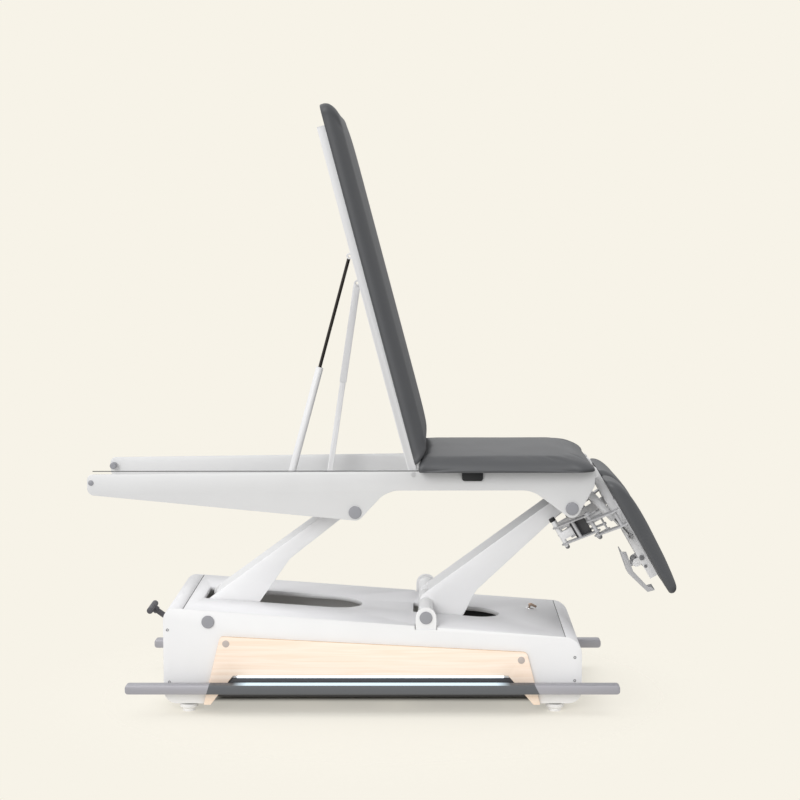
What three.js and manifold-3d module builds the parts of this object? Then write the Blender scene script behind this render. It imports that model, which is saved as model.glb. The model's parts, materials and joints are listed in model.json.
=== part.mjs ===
// Height-adjustable treatment table with a raised backrest and a drooped head section.
// Millimetres, +Z up, +X towards the head section, +Y away from the side with the badge.
// The base stands on four levelling feet, two parallel arms carry the deck frame, and
// the deck frame carries the seat pad, the backrest and the head section.
import * as THREE from 'three';
import { mergeVertices } from 'three/addons/utils/BufferGeometryUtils.js';
import Module from 'manifold-3d';

const wasm = await Module();
wasm.setup();

const degrees = (angle) => THREE.MathUtils.degToRad(angle);

// Clearances and facets that every sub-part shares.
const touch = 0.3;
const running = 0.5;
const overrun = 4;
const weld = 1;
const arcSteps = 2;
const wideArcSteps = 4;
const roundSides = 16;
const tubeSides = 8;
const shaftSides = 12;

// Pose in which the table is drawn.
const armAngle = degrees(36.05);
const backAngle = degrees(75.3);
const headAngle = degrees(60);

// Base housing: two flat side panels with end covers and a sloped top cover between them.
const base = {
  halfLength: 605,
  halfWidth: 290,
  floorGap: 28,
  panelWall: 4,
  coverWall: 3,
  highEdge: 305,
  lowEdge: 223,
  highSeamInset: 59,
  lowSeamInset: 49,
  seamGap: 1.6,
  highCorner: 34,
  lowCorner: 50,
  bottomCorner: 38,
};
base.highSeam = base.highSeamInset - base.halfLength;
base.lowSeam = base.halfLength - base.lowSeamInset;
const panelInner = base.halfWidth - base.panelWall;
const insideHalf = panelInner - touch;
const coverSlope = Math.atan((base.highEdge - base.lowEdge) / (base.lowSeam - base.highSeam));
const coverHeight = (x) => base.highEdge - (x - base.highSeam) * Math.tan(coverSlope);

// Lift: the two arms are equal and parallel, so the deck frame stays level.
const lift = {
  armLength: 525,
  spacing: 630,
  rise: 10.5,
  footInset: 130,
  footZ: 267.5,
  shaftRadius: 9,
  hubRadius: 22,
  capRadius: 18.5,
  capDepth: 5.5,
};
const leftFoot = { x: lift.footInset - base.halfLength, z: lift.footZ };
const rightFoot = { x: leftFoot.x + lift.spacing, z: lift.footZ + lift.rise };
const armReach = { x: lift.armLength * Math.cos(armAngle), z: lift.armLength * Math.sin(armAngle) };
const leftHead = { x: leftFoot.x + armReach.x, z: leftFoot.z + armReach.z };

// Deck frame: places below are measured from the left arm's upper pivot and the deck's top.
const deck = {
  topAbovePivot: 122.5,
  plateOuter: 225,
  plateWall: 6,
  leftOverhang: 778.5,
  rightOverhang: 65.5,
  backHingeX: 170.5,
  headHingeReach: 1.9,
  hingeDrop: 12.5,
  lobeRadius: 24,
};
deck.leftEnd = -deck.leftOverhang;
deck.rightEnd = lift.spacing + deck.rightOverhang;
deck.headHingeX = deck.rightEnd + deck.headHingeReach;
const plateInner = deck.plateOuter - deck.plateWall;
const deckTop = leftHead.z + deck.topAbovePivot;
const railSection = 25;
const padRest = railSection / 2;

// Upholstery: the pads lie on the rails and on the deck plates.
const pad = {
  halfWidth: 300,
  seamHeight: 9,
  seamInset: 3,
  sideRound: 30,
  drawIn: 5,
};

// Solid helpers. A block is given by its corners, a rod by its ends and its centre line.
function solid(geometry) {
  const bare = new THREE.BufferGeometry();
  bare.setAttribute('position', geometry.getAttribute('position').clone());
  if (geometry.index) bare.setIndex(geometry.index.clone());
  const merged = mergeVertices(bare);
  return new wasm.Manifold(
    new wasm.Mesh({
      numProp: 3,
      vertProperties: new Float32Array(merged.getAttribute('position').array),
      triVerts: new Uint32Array(merged.index.array),
    }),
  );
}

function join(...geometries) {
  return shaped(geometries.map(solid).reduce((whole, piece) => whole.add(piece)));
}

function cut(geometry, ...tools) {
  return shaped(tools.map(solid).reduce((rest, tool) => rest.subtract(tool), solid(geometry)));
}

function shaped(manifold) {
  const mesh = manifold.getMesh();
  const geometry = new THREE.BufferGeometry();
  const places = [];
  for (let i = 0; i < mesh.numVert; i += 1) {
    const start = i * mesh.numProp;
    places.push(...mesh.vertProperties.slice(start, start + 3));
  }
  geometry.setAttribute('position', new THREE.Float32BufferAttribute(places, 3));
  geometry.setIndex(Array.from(mesh.triVerts));
  return geometry;
}

function block(xMin, xMax, yMin, yMax, zMin, zMax) {
  const geometry = new THREE.BoxGeometry(xMax - xMin, yMax - yMin, zMax - zMin);
  return geometry.translate((xMin + xMax) / 2, (yMin + yMax) / 2, (zMin + zMax) / 2);
}

function rodY(radius, yMin, yMax, x, z, sides = roundSides) {
  const geometry = new THREE.CylinderGeometry(radius, radius, yMax - yMin, sides);
  return geometry.translate(x, (yMin + yMax) / 2, z);
}

function rodX(radius, xMin, xMax, y, z, sides = roundSides) {
  const geometry = new THREE.CylinderGeometry(radius, radius, xMax - xMin, sides);
  return geometry.rotateZ(Math.PI / 2).translate((xMin + xMax) / 2, y, z);
}

function rodZ(radius, zMin, zMax, x, y, sides = roundSides) {
  const geometry = new THREE.CylinderGeometry(radius, radius, zMax - zMin, sides);
  return geometry.rotateX(Math.PI / 2).translate(x, y, (zMin + zMax) / 2);
}

// An outline whose corners are given as x, z and the radius that rounds the corner.
function outline(corners) {
  const shape = new THREE.Shape();
  corners.forEach(([x, z, radius = 0], i) => {
    const corner = new THREE.Vector2(x, z);
    if (radius === 0) {
      if (i === 0) shape.moveTo(x, z);
      else shape.lineTo(x, z);
      return;
    }
    const before = corners.at(i - 1);
    const after = corners[(i + 1) % corners.length];
    const toBefore = new THREE.Vector2(before[0], before[1]).sub(corner).normalize();
    const toAfter = new THREE.Vector2(after[0], after[1]).sub(corner).normalize();
    const half = Math.acos(THREE.MathUtils.clamp(toBefore.dot(toAfter), -1, 1)) / 2;
    const start = corner.clone().addScaledVector(toBefore, radius / Math.tan(half));
    const end = corner.clone().addScaledVector(toAfter, radius / Math.tan(half));
    const middle = toBefore.clone().add(toAfter).normalize();
    const centre = corner.clone().addScaledVector(middle, radius / Math.sin(half));
    const startAngle = Math.atan2(start.y - centre.y, start.x - centre.x);
    const endAngle = Math.atan2(end.y - centre.y, end.x - centre.x);
    const turnsRight = toBefore.cross(toAfter) > 0;
    if (i === 0) shape.moveTo(start.x, start.y);
    else shape.lineTo(start.x, start.y);
    shape.absarc(centre.x, centre.y, radius, startAngle, endAngle, turnsRight);
  });
  shape.closePath();
  return shape;
}

// A plate whose outline lies in X and Z, pushed along Y.
function plateY(shape, yMin, yMax, steps = arcSteps) {
  const settings = { depth: yMax - yMin, bevelEnabled: false, curveSegments: steps };
  return new THREE.ExtrudeGeometry(shape, settings).rotateX(Math.PI / 2).translate(0, yMax, 0);
}

// A plate whose outline lies in Y and Z, pushed along X.
function plateX(shape, xMin, xMax) {
  const settings = { depth: xMax - xMin, bevelEnabled: false, curveSegments: arcSteps };
  const geometry = new THREE.ExtrudeGeometry(shape, settings);
  return geometry.rotateX(Math.PI / 2).rotateZ(Math.PI / 2).translate(xMin, 0, 0);
}

// A plate whose outline lies in X and Y, pushed up along Z.
function plateZ(shape, zMin, zMax, steps = arcSteps) {
  const settings = { depth: zMax - zMin, bevelEnabled: false, curveSegments: steps };
  return new THREE.ExtrudeGeometry(shape, settings).translate(0, 0, zMin);
}

function rectangle(xMin, xMax, zMin, zMax, radius = 0) {
  return outline([
    [xMin, zMin, radius],
    [xMax, zMin, radius],
    [xMax, zMax, radius],
    [xMin, zMax, radius],
  ]);
}

// Finishes.
const finishes = {
  whiteSteel: { color: 0xf0eff0, roughness: 0.42, metalness: 0.05 },
  whiteCover: { color: 0xdedde0, roughness: 0.5, metalness: 0 },
  deckSteel: { color: 0xdedede, roughness: 0.42, metalness: 0.05 },
  greyCap: { color: 0xa0a1a5, roughness: 0.5, metalness: 0 },
  castorGrey: { color: 0x4a4a4f, roughness: 0.6, metalness: 0 },
  birch: { color: 0xfdeedd, roughness: 0.55, metalness: 0 },
  railGrey: { color: 0x9b9ca1, roughness: 0.45, metalness: 0.2 },
  treadDark: { color: 0x63666b, roughness: 0.6, metalness: 0 },
  footWhite: { color: 0xe6e4de, roughness: 0.6, metalness: 0 },
  upholstery: { color: 0x5a5d60, roughness: 0.6, metalness: 0 },
  brightRod: { color: 0x1d1a15, roughness: 0.2, metalness: 0.7 },
  zinc: { color: 0xb9b9b6, roughness: 0.35, metalness: 0.8 },
  black: { color: 0x202122, roughness: 0.5, metalness: 0 },
  bronze: { color: 0x8a6a55, roughness: 0.35, metalness: 0.8 },
};

function piece(name, geometry, finish, parent) {
  const mesh = new THREE.Mesh(geometry, new THREE.MeshStandardMaterial(finishes[finish]));
  mesh.name = name;
  parent.add(mesh);
  return mesh;
}

const table = new THREE.Group();
const sides = [
  { name: 'near', sign: -1 },
  { name: 'far', sign: 1 },
];
const span = (sign, inner, outer) => (sign < 0 ? [-outer, -inner] : [inner, outer]);

// Base frame: two box rails on the feet, cross plates on top of them, uprights that hold
// the left arm's shaft, and taller bearing uprights for the right arm's shaft.
const frame = {
  railInset: 45,
  railWidth: 40,
  railGap: 11,
  railHeight: 27,
  railLift: 45,
  railWall: 3,
  plateDepth: 12,
  plateWidth: 90,
  plateShares: [-0.9, -0.36, 0.12, 0.78],
  uprightWall: 8,
  uprightHalf: 45,
  bearingRadius: 30,
  bearingFoot: 60,
};
frame.railHalf = base.halfLength - frame.railInset;
frame.railOuter = panelInner - frame.railGap;
frame.railInner = frame.railOuter - frame.railWidth;
const railTop = frame.railLift + frame.railHeight;
const crossTop = railTop + frame.plateDepth;
const crossX = frame.plateShares.map((share) => share * frame.railHalf);

// Transport castors: a lever with a foot bar lowers a frame that carries two wheelsets.
const castor = {
  pivotInset: 60,
  pivotZ: 162.9,
  shaftAngle: degrees(35.8),
  shaftLength: 159,
  shaftRadius: 8.5,
  barRadius: 9.5,
  barHalf: 65,
  hubRadius: 14,
  hubHalf: 12,
  pinRadius: 5,
  fingerLength: 22.5,
  fingerAngle: degrees(10),
  fingerRadius: 5,
  fingerGap: 0.8,
  throat: 16,
  slotBelow: 16.9,
  slotAbove: 63.1,
  spineHalf: 20,
  spineLow: 56,
  spineHigh: 71,
  wheelInset: 115,
  wheelRadius: 25,
  wheelWidth: 22,
  wheelInner: 120,
  axleZ: 29.5,
  axleRadius: 6,
  earWall: 8,
  guideRadius: 6,
  guideRise: 22,
};
castor.pivotX = castor.pivotInset - base.halfLength;
castor.wheelX = base.halfLength - castor.wheelInset;

function baseFrame() {
  const parts = [];
  for (const { sign } of sides) {
    const [yMin, yMax] = span(sign, frame.railInner, frame.railOuter);
    const tube = rectangle(yMin, yMax, frame.railLift, railTop);
    tube.holes.push(
      rectangle(
        yMin + frame.railWall,
        yMax - frame.railWall,
        frame.railLift + frame.railWall,
        railTop - frame.railWall,
      ),
    );
    parts.push(plateX(tube, -frame.railHalf, frame.railHalf));
    const [inMin, inMax] = span(sign, frame.railOuter - frame.uprightWall, frame.railOuter);
    const upright = outline([
      [leftFoot.x - frame.uprightHalf, railTop - weld],
      [leftFoot.x + frame.uprightHalf, railTop - weld],
      [leftFoot.x + lift.hubRadius, leftFoot.z + lift.hubRadius, lift.hubRadius / 2],
      [leftFoot.x - lift.hubRadius, leftFoot.z + lift.hubRadius, lift.hubRadius / 2],
    ]);
    parts.push(plateY(upright, inMin, inMax));
    const [outMin, outMax] = span(sign, frame.railOuter - weld, insideHalf);
    const top = rightFoot.z + frame.bearingRadius;
    const bearing = outline([
      [rightFoot.x - frame.bearingRadius, frame.bearingFoot],
      [rightFoot.x + frame.bearingRadius, frame.bearingFoot],
      [rightFoot.x + frame.bearingRadius, top, frame.bearingRadius - touch],
      [rightFoot.x - frame.bearingRadius, top, frame.bearingRadius - touch],
    ]);
    parts.push(plateY(bearing, outMin, outMax));
  }
  for (const x of crossX) {
    const half = frame.plateWidth / 2;
    parts.push(block(x - half, x + half, -frame.railOuter, frame.railOuter, railTop - weld, crossTop));
  }
  const cheekOuter = castor.hubHalf + running + castor.earWall;
  for (const { sign } of sides) {
    const [yMin, yMax] = span(sign, castor.hubHalf + running, cheekOuter);
    const cheek = outline([
      [crossX[0] - frame.plateWidth / 2, crossTop - weld],
      [crossX[0] + castor.hubRadius, crossTop - weld],
      [castor.pivotX + castor.hubRadius, castor.pivotZ + castor.hubRadius, castor.hubRadius / 2],
      [castor.pivotX - castor.hubRadius, castor.pivotZ + castor.hubRadius, castor.hubRadius / 2],
    ]);
    parts.push(plateY(cheek, yMin, yMax));
  }
  parts.push(rodY(castor.pinRadius, -cheekOuter, cheekOuter, castor.pivotX, castor.pivotZ));
  for (const { sign } of sides) {
    const [yMin, yMax] = span(sign, actuator.eyeHalf + running, actuator.eyeHalf + actuator.lugWall);
    const lug = outline([
      [crossX[1] - frame.plateWidth / 2, crossTop - weld],
      [crossX[1] - frame.plateWidth / 2 + actuator.lugFoot, crossTop - weld],
      [actuator.pivotX + actuator.eyeRadius, actuator.pivotZ + actuator.eyeRadius, actuator.eyeRadius / 2],
      [actuator.pivotX - actuator.eyeRadius, actuator.pivotZ + actuator.eyeRadius, actuator.eyeRadius / 2],
    ]);
    parts.push(plateY(lug, yMin, yMax));
  }
  const lugOuter = actuator.eyeHalf + actuator.lugWall;
  parts.push(rodY(actuator.pinRadius, -lugOuter, lugOuter, actuator.pivotX, actuator.pivotZ));
  const whole = join(...parts);
  const bore = lift.shaftRadius + running;
  const reach = base.halfWidth;
  const guideBore = castor.guideRadius + running;
  const guideTools = [crossX[0], crossX.at(-1)].map((x) =>
    rodZ(guideBore, railTop - overrun, crossTop + overrun, x + guideShift(x), 0),
  );
  return cut(
    whole,
    rodY(bore, -reach, reach, leftFoot.x, leftFoot.z),
    rodY(bore, -reach, reach, rightFoot.x, rightFoot.z),
    ...guideTools,
  );
}

// The guide pins stand off the cross plates' middle lines, clear of the lever's cheeks.
const guideShift = (x) => (x < 0 ? 1 : -1) * (frame.plateWidth / 2 - 2 * castor.guideRadius);

// Lift actuator: a motor block with its tube and a rod whose fork straddles the right arm's lug.
const actuator = {
  pivotShift: 3.4,
  pivotZ: 130,
  eyeRadius: 14,
  eyeHalf: 10,
  lugWall: 8,
  lugFoot: 34,
  pinRadius: 6,
  motorStart: 38,
  tubeRadius: 21,
  tubeLength: 275,
  boreRadius: 11,
  rodRadius: 10,
  rodOverlap: 60,
  motorLength: 90,
  motorHalfWidth: 28,
  motorDrop: 38,
  armRadius: 85,
  forkWall: 7,
  forkRadius: 14,
  armLugHalf: 6,
};
actuator.pivotX = crossX[1] - frame.plateWidth / 2 - actuator.pivotShift;
const lugAngle = -Math.PI / 2;
const lugEnd = { x: rightFoot.x, z: rightFoot.z - actuator.armRadius };
const actuatorRun = { x: lugEnd.x - actuator.pivotX, z: lugEnd.z - actuator.pivotZ };
const actuatorAngle = Math.atan2(actuatorRun.z, actuatorRun.x);
const actuatorLength = Math.hypot(actuatorRun.x, actuatorRun.z);

piece('base_frame', baseFrame(), 'whiteSteel', table);

// Side panels: flat plates with the housing's outline, a notch for the bearing upright, and a
// low arch between the feet, whose ends are hidden behind the wood panel's legs.
const notch = { side: 2.4, low: 244 };
const railStub = { inset: 157, half: 8, low: 69.2, high: 81, travel: 6, room: 1.5 };
railStub.x = base.halfLength - railStub.inset;
const panelCorners = [
  [-base.halfLength, base.floorGap, base.bottomCorner],
  [base.halfLength, base.floorGap, base.bottomCorner],
  [base.halfLength, coverHeight(base.halfLength), base.lowCorner],
  [-base.halfLength, coverHeight(-base.halfLength), base.highCorner],
];

const stubSlotLow = railStub.low - railStub.travel - railStub.room;
const panelArch = {
  leftInset: 135.5,
  rightInset: 139.7,
  leftSlant: 23.2,
  rightSlant: 25.6,
  strip: 3.7,
  corner: 4,
};
panelArch.left = panelArch.leftInset - base.halfLength;
panelArch.right = base.halfLength - panelArch.rightInset;
panelArch.top = stubSlotLow - panelArch.strip;
const archedCorners = [
  panelCorners[0],
  [panelArch.left, base.floorGap],
  [panelArch.left + panelArch.leftSlant, panelArch.top, panelArch.corner],
  [panelArch.right - panelArch.rightSlant, panelArch.top, panelArch.corner],
  [panelArch.right, base.floorGap],
  ...panelCorners.slice(1),
];

function stubSlots(inner, outer) {
  const across = railStub.half + railStub.room;
  const high = railStub.high + railStub.travel + railStub.room;
  return [-1, 1].map((end) =>
    block(end * railStub.x - across, end * railStub.x + across, inner, outer, stubSlotLow, high),
  );
}

for (const { name, sign } of sides) {
  const [yMin, yMax] = span(sign, panelInner, base.halfWidth);
  const around = frame.bearingRadius + notch.side;
  const panel = cut(
    plateY(outline(archedCorners), yMin, yMax, wideArcSteps),
    block(rightFoot.x - around, rightFoot.x + around, yMin - overrun, yMax + overrun, notch.low,
      rightFoot.z + frame.bearingRadius + overrun),
    rodY(lift.shaftRadius + running, yMin - overrun, yMax + overrun, leftFoot.x, leftFoot.z),
    ...stubSlots(yMin - overrun, yMax + overrun),
  );
  piece(`side_panel_${name}`, panel, 'whiteSteel', table);
}

// End covers: curved sheets that follow the panels' outline from the top seam to the bottom.
function endCover(end) {
  const seam = end < 0 ? base.highSeam - base.seamGap : base.lowSeam + base.seamGap;
  const full = plateY(outline(panelCorners), -insideHalf, insideHalf, wideArcSteps);
  const wall = base.coverWall;
  const inner = outline([
    [-base.halfLength + wall, base.floorGap + wall, base.bottomCorner - wall],
    [base.halfLength - wall, base.floorGap + wall, base.bottomCorner - wall],
    [base.halfLength - wall, coverHeight(base.halfLength - wall) - wall, base.lowCorner - wall],
    [-base.halfLength + wall, coverHeight(-base.halfLength + wall) - wall, base.highCorner - wall],
  ]);
  const hollow = plateY(inner, -base.halfWidth, base.halfWidth, wideArcSteps);
  const rest = block(
    end < 0 ? seam : -base.halfLength - overrun,
    end < 0 ? base.halfLength + overrun : seam,
    -base.halfWidth,
    base.halfWidth,
    base.floorGap - overrun,
    coverHeight(-base.halfLength) + overrun,
  );
  const tools = [hollow, rest];
  if (end < 0) {
    const wallEdge = -base.halfLength - overrun;
    tools.push(
      block(wallEdge, wallEdge + 2 * base.highCorner, -castor.throat, castor.throat,
        castor.pivotZ - castor.slotBelow, castor.pivotZ + castor.slotAbove),
    );
  }
  return cut(full, ...tools);
}

piece('end_cover_left', endCover(-1), 'whiteCover', table);
piece('end_cover_right', endCover(1), 'whiteCover', table);

// Top cover: a sloped sheet with a slot for each arm and a notch for each bearing upright.
const slots = {
  leftBack: 27,
  leftReach: 439,
  rightBack: 39,
  rightReach: 222,
  armGap: 4,
  squareCorner: 8,
};
const leftArmHalf = 94;
const rightArmHalf = 73;
const cover = new THREE.Group();
cover.position.set(base.highSeam, 0, base.highEdge);
cover.rotation.y = coverSlope;
table.add(cover);
const alongCover = (x) => (x - base.highSeam) / Math.cos(coverSlope);

function slotTool(start, end, half) {
  const shape = outline([
    [alongCover(start), -half, slots.squareCorner],
    [alongCover(end), -half, half - touch],
    [alongCover(end), half, half - touch],
    [alongCover(start), half, slots.squareCorner],
  ]);
  return plateZ(shape, -base.coverWall - overrun, overrun, wideArcSteps);
}

function topCover() {
  const sheet = block(0, alongCover(base.lowSeam), -insideHalf, insideHalf, -base.coverWall, 0);
  const around = frame.bearingRadius + notch.side;
  const notches = sides.map(({ sign }) => {
    const [yMin, yMax] = span(sign, frame.railOuter - weld - notch.side, insideHalf + overrun);
    return block(alongCover(rightFoot.x) - around, alongCover(rightFoot.x) + around, yMin, yMax,
      -base.coverWall - overrun, overrun);
  });
  return cut(
    sheet,
    slotTool(leftFoot.x - slots.leftBack, leftFoot.x + slots.leftReach, leftArmHalf + slots.armGap),
    slotTool(rightFoot.x - slots.rightBack, rightFoot.x + slots.rightReach, rightArmHalf + slots.armGap),
    ...notches,
  );
}

piece('top_cover', topCover(), 'whiteCover', cover);

// Key switch on the top cover: a round lock with a key that turns in it.
const lock = {
  inset: 131,
  y: 118,
  radius: 13,
  height: 3,
  neck: 6,
  depth: 30,
  keyRadius: 2.5,
  keyWall: 3,
  bow: 13,
  bowRise: 24,
  shankSink: 4,
};
const lockPlace = new THREE.Vector3(alongCover(base.halfLength - lock.inset), lock.y, 0);

function keySwitch() {
  const profile = [
    new THREE.Vector2(0, touch),
    new THREE.Vector2(lock.radius, touch),
    new THREE.Vector2(lock.radius, lock.height),
    new THREE.Vector2(0, lock.height),
  ];
  const body = new THREE.LatheGeometry(profile, roundSides).rotateX(Math.PI / 2);
  return cut(body, rodZ(lock.keyRadius + running, -overrun, lock.height + overrun, 0, 0, tubeSides));
}

function key() {
  const shank = rodZ(lock.keyRadius, touch, lock.neck, 0, 0, tubeSides);
  const bow = outline([
    [-lock.bow, lock.neck, lock.keyRadius],
    [lock.bow, lock.neck, lock.keyRadius],
    [lock.bow, lock.bowRise, lock.bow / 2],
    [-lock.bow, lock.bowRise, lock.bow / 2],
  ]);
  const blade = plateY(bow, -lock.keyWall / 2, lock.keyWall / 2);
  blade.translate(0, 0, -weld);
  const eye = rodY(lock.keyWall, -lock.bow, lock.bow, 0, lock.bowRise - 2 * lock.keyWall, tubeSides);
  return cut(join(shank, blade), eye);
}

piece('key_switch', keySwitch(), 'zinc', cover).position.copy(lockPlace);
piece('key', key(), 'bronze', cover).position.copy(lockPlace);

// Wood panels: birch plywood fascias with two legs and a long cut-out over the foot rail.
const wood = {
  wall: 9.7,
  leftTopInset: 165,
  rightTopInset: 159,
  topLeftZ: 226,
  topRightZ: 180,
  leftFootInset: 116,
  rightFootInset: 120,
  footWidth: 20,
  bottom: 26,
  archLeftInset: 202,
  archRightInset: 213,
  archTop: 111.6,
  cornerLeft: 12,
  cornerRight: 15,
  archCorner: 6,
  footCorner: 3,
};
const leftWoodFoot = wood.leftFootInset - base.halfLength;
const rightWoodFoot = base.halfLength - wood.rightFootInset;
for (const { name, sign } of sides) {
  const [yMin, yMax] = span(sign, base.halfWidth + touch, base.halfWidth + wood.wall);
  const shape = outline([
    [leftWoodFoot, wood.bottom, wood.footCorner],
    [leftWoodFoot + wood.footWidth, wood.bottom, wood.footCorner],
    [wood.archLeftInset - base.halfLength, wood.archTop, wood.archCorner],
    [base.halfLength - wood.archRightInset, wood.archTop, wood.archCorner],
    [rightWoodFoot - wood.footWidth, wood.bottom, wood.footCorner],
    [rightWoodFoot, wood.bottom, wood.footCorner],
    [base.halfLength - wood.rightTopInset, wood.topRightZ, wood.cornerRight],
    [wood.leftTopInset - base.halfLength, wood.topLeftZ, wood.cornerLeft],
  ]);
  const panel = cut(plateY(shape, yMin, yMax), ...stubSlots(yMin - overrun, yMax + overrun));
  piece(`wood_panel_${name}`, panel, 'birch', table);
}

// Foot rails: a grey bar with two stubs that reach the base frame, and a dark tread round
// its middle. Pressing the bar down or lifting it with a foot works the lift.
const footRail = {
  overhang: 106,
  gap: 3.3,
  depth: 38,
  low: 65.7,
  high: 92.6,
  skin: 2.6,
  treadLeftInset: 136,
  treadLeftSlant: 8,
  treadRightInset: 138,
  treadRightSlant: 14,
  endRound: 12,
};
footRail.half = base.halfLength + footRail.overhang;
footRail.inner = base.halfWidth + wood.wall + footRail.gap;
footRail.outer = footRail.inner + footRail.depth;

function treadOutline(gap) {
  const left = footRail.treadLeftInset - base.halfLength;
  const right = base.halfLength - footRail.treadRightInset;
  return outline([
    [left - footRail.treadLeftSlant + gap, footRail.low],
    [right + footRail.treadRightSlant - gap, footRail.low],
    [right - gap, footRail.high],
    [left + gap, footRail.high],
  ]);
}

function railCore(yMin, yMax) {
  const plan = rectangle(-footRail.half, footRail.half, yMin, yMax, footRail.endRound);
  const bar = plateZ(plan, footRail.low, footRail.high);
  const window = cut(
    plateY(treadOutline(0), yMin - overrun, yMax + overrun),
    block(-footRail.half, footRail.half, yMin + footRail.skin + touch, yMax - footRail.skin - touch,
      footRail.low + footRail.skin + touch, footRail.high - footRail.skin - touch),
  );
  return cut(bar, window);
}

function railTread(yMin, yMax) {
  const skin = footRail.skin;
  return cut(
    plateY(treadOutline(touch), yMin, yMax),
    block(-footRail.half, footRail.half, yMin + skin, yMax - skin, footRail.low + skin,
      footRail.high - skin),
  );
}

function stubTool(sign, side) {
  const reach = footRail.inner + footRail.skin * 2;
  const [yMin, yMax] = span(sign, frame.railOuter + touch, reach);
  const left = side * railStub.x - railStub.half;
  return block(left, left + 2 * railStub.half, yMin, yMax, railStub.low, railStub.high);
}

for (const { name, sign } of sides) {
  const [yMin, yMax] = span(sign, footRail.inner, footRail.outer);
  const stubs = [-1, 1].map((side) => stubTool(sign, side));
  const [gapMin, gapMax] = span(sign, footRail.inner - overrun, footRail.inner + footRail.skin + touch);
  const passages = [-1, 1].map((side) => {
    const left = side * railStub.x - railStub.half - touch;
    const right = side * railStub.x + railStub.half + touch;
    return block(left, right, gapMin, gapMax, railStub.low - touch, railStub.high + touch);
  });
  const core = join(railCore(yMin, yMax), ...stubs);
  piece(`foot_rail_${name}`, core, 'railGrey', table);
  piece(`foot_rail_tread_${name}`, cut(railTread(yMin, yMax), ...passages), 'treadDark', table);
}

// Levelling feet: stepped pads whose studs reach the underside of the base frame's rails.
const foot = {
  leftInset: 69,
  rightInset: 76,
  padRadius: 18.5,
  padHeight: 8,
  discRadius: 26.5,
  discLow: 13,
  discHigh: 23,
  studRadius: 6,
};
const footY = (frame.railInner + frame.railOuter) / 2;
const footProfile = [
  new THREE.Vector2(0, 0),
  new THREE.Vector2(foot.padRadius, 0),
  new THREE.Vector2(foot.padRadius, foot.padHeight),
  new THREE.Vector2(foot.discRadius, foot.discLow),
  new THREE.Vector2(foot.discRadius, foot.discHigh),
  new THREE.Vector2(foot.studRadius, foot.discHigh),
  new THREE.Vector2(foot.studRadius, frame.railLift - touch),
  new THREE.Vector2(0, frame.railLift - touch),
];
const footPlaces = [
  ['left', foot.leftInset - base.halfLength],
  ['right', base.halfLength - foot.rightInset],
];
for (const { name, sign } of sides) {
  for (const [end, x] of footPlaces) {
    const geometry = new THREE.LatheGeometry(footProfile, roundSides).rotateX(Math.PI / 2);
    piece(`levelling_foot_${end}_${name}`, geometry, 'footWhite', table).position.set(x, sign * footY, 0);
  }
}

// Lever and castor frame.
const lever = new THREE.Group();
lever.position.set(castor.pivotX, 0, castor.pivotZ);
lever.rotation.y = castor.shaftAngle;
table.add(lever);

function castorLever() {
  const turn = castor.fingerAngle + castor.shaftAngle;
  const tipX = -castor.fingerLength * Math.cos(turn);
  const tipZ = -castor.fingerLength * Math.sin(turn);
  const finger = new THREE.BoxGeometry(castor.fingerLength, 2 * castor.hubHalf, 2 * castor.fingerRadius);
  finger.rotateY(-turn).translate(tipX / 2, 0, tipZ / 2);
  const whole = join(
    rodX(castor.shaftRadius, -castor.shaftLength, 0, 0, 0),
    rodY(castor.hubRadius, -castor.hubHalf, castor.hubHalf, 0, 0),
    rodY(castor.barRadius, -castor.barHalf, castor.barHalf, -castor.shaftLength, 0),
    finger,
    rodY(castor.fingerRadius, -castor.hubHalf, castor.hubHalf, tipX, tipZ),
  );
  return cut(whole, rodY(castor.pinRadius + running, -castor.barHalf, castor.barHalf, 0, 0));
}

piece('castor_lever', castorLever(), 'castorGrey', lever);

function castorFrame() {
  const outer = castor.wheelInner + castor.wheelWidth + running + castor.earWall;
  const parts = [
    block(-castor.wheelX - castor.spineHalf, castor.wheelX + castor.spineHalf, -castor.spineHalf,
      castor.spineHalf, castor.spineLow, castor.spineHigh),
  ];
  for (const side of [-1, 1]) {
    const x = side * castor.wheelX;
    parts.push(block(x - castor.spineHalf, x + castor.spineHalf, -outer, outer, castor.spineLow,
      castor.spineHigh));
    for (const { sign } of sides) {
      for (const start of [castor.wheelInner - running - castor.earWall, outer - castor.earWall]) {
        const [yMin, yMax] = span(sign, start, start + castor.earWall);
        const low = castor.axleZ - castor.axleRadius * 2;
        parts.push(block(x - 2 * castor.axleRadius, x + 2 * castor.axleRadius, yMin, yMax, low,
          castor.spineLow + weld));
      }
    }
  }
  for (const x of [crossX[0], crossX.at(-1)]) {
    const place = x + guideShift(x);
    const top = castor.spineHigh + castor.guideRise;
    parts.push(rodZ(castor.guideRadius, castor.spineLow, top, place, 0));
  }
  const fingerX = castor.pivotX - castor.fingerLength * Math.cos(castor.fingerAngle);
  const fingerZ = castor.pivotZ - castor.fingerLength * Math.sin(castor.fingerAngle);
  const postTop = fingerZ - castor.fingerRadius - castor.fingerGap;
  const postRight = castor.pivotX - castor.hubRadius - weld;
  const postLeft = fingerX - castor.fingerRadius;
  const half = castor.hubHalf - running;
  parts.push(block(postLeft, postRight, -half, half, castor.spineLow, postTop));
  parts.push(block(postLeft, -castor.wheelX, -half, half, castor.spineLow, castor.spineHigh));
  const whole = join(...parts);
  const bore = castor.axleRadius + running;
  const axles = [-1, 1].map((side) =>
    rodY(bore, -outer - overrun, outer + overrun, side * castor.wheelX, castor.axleZ),
  );
  return cut(whole, ...axles);
}

piece('castor_frame', castorFrame(), 'whiteSteel', table);

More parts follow.
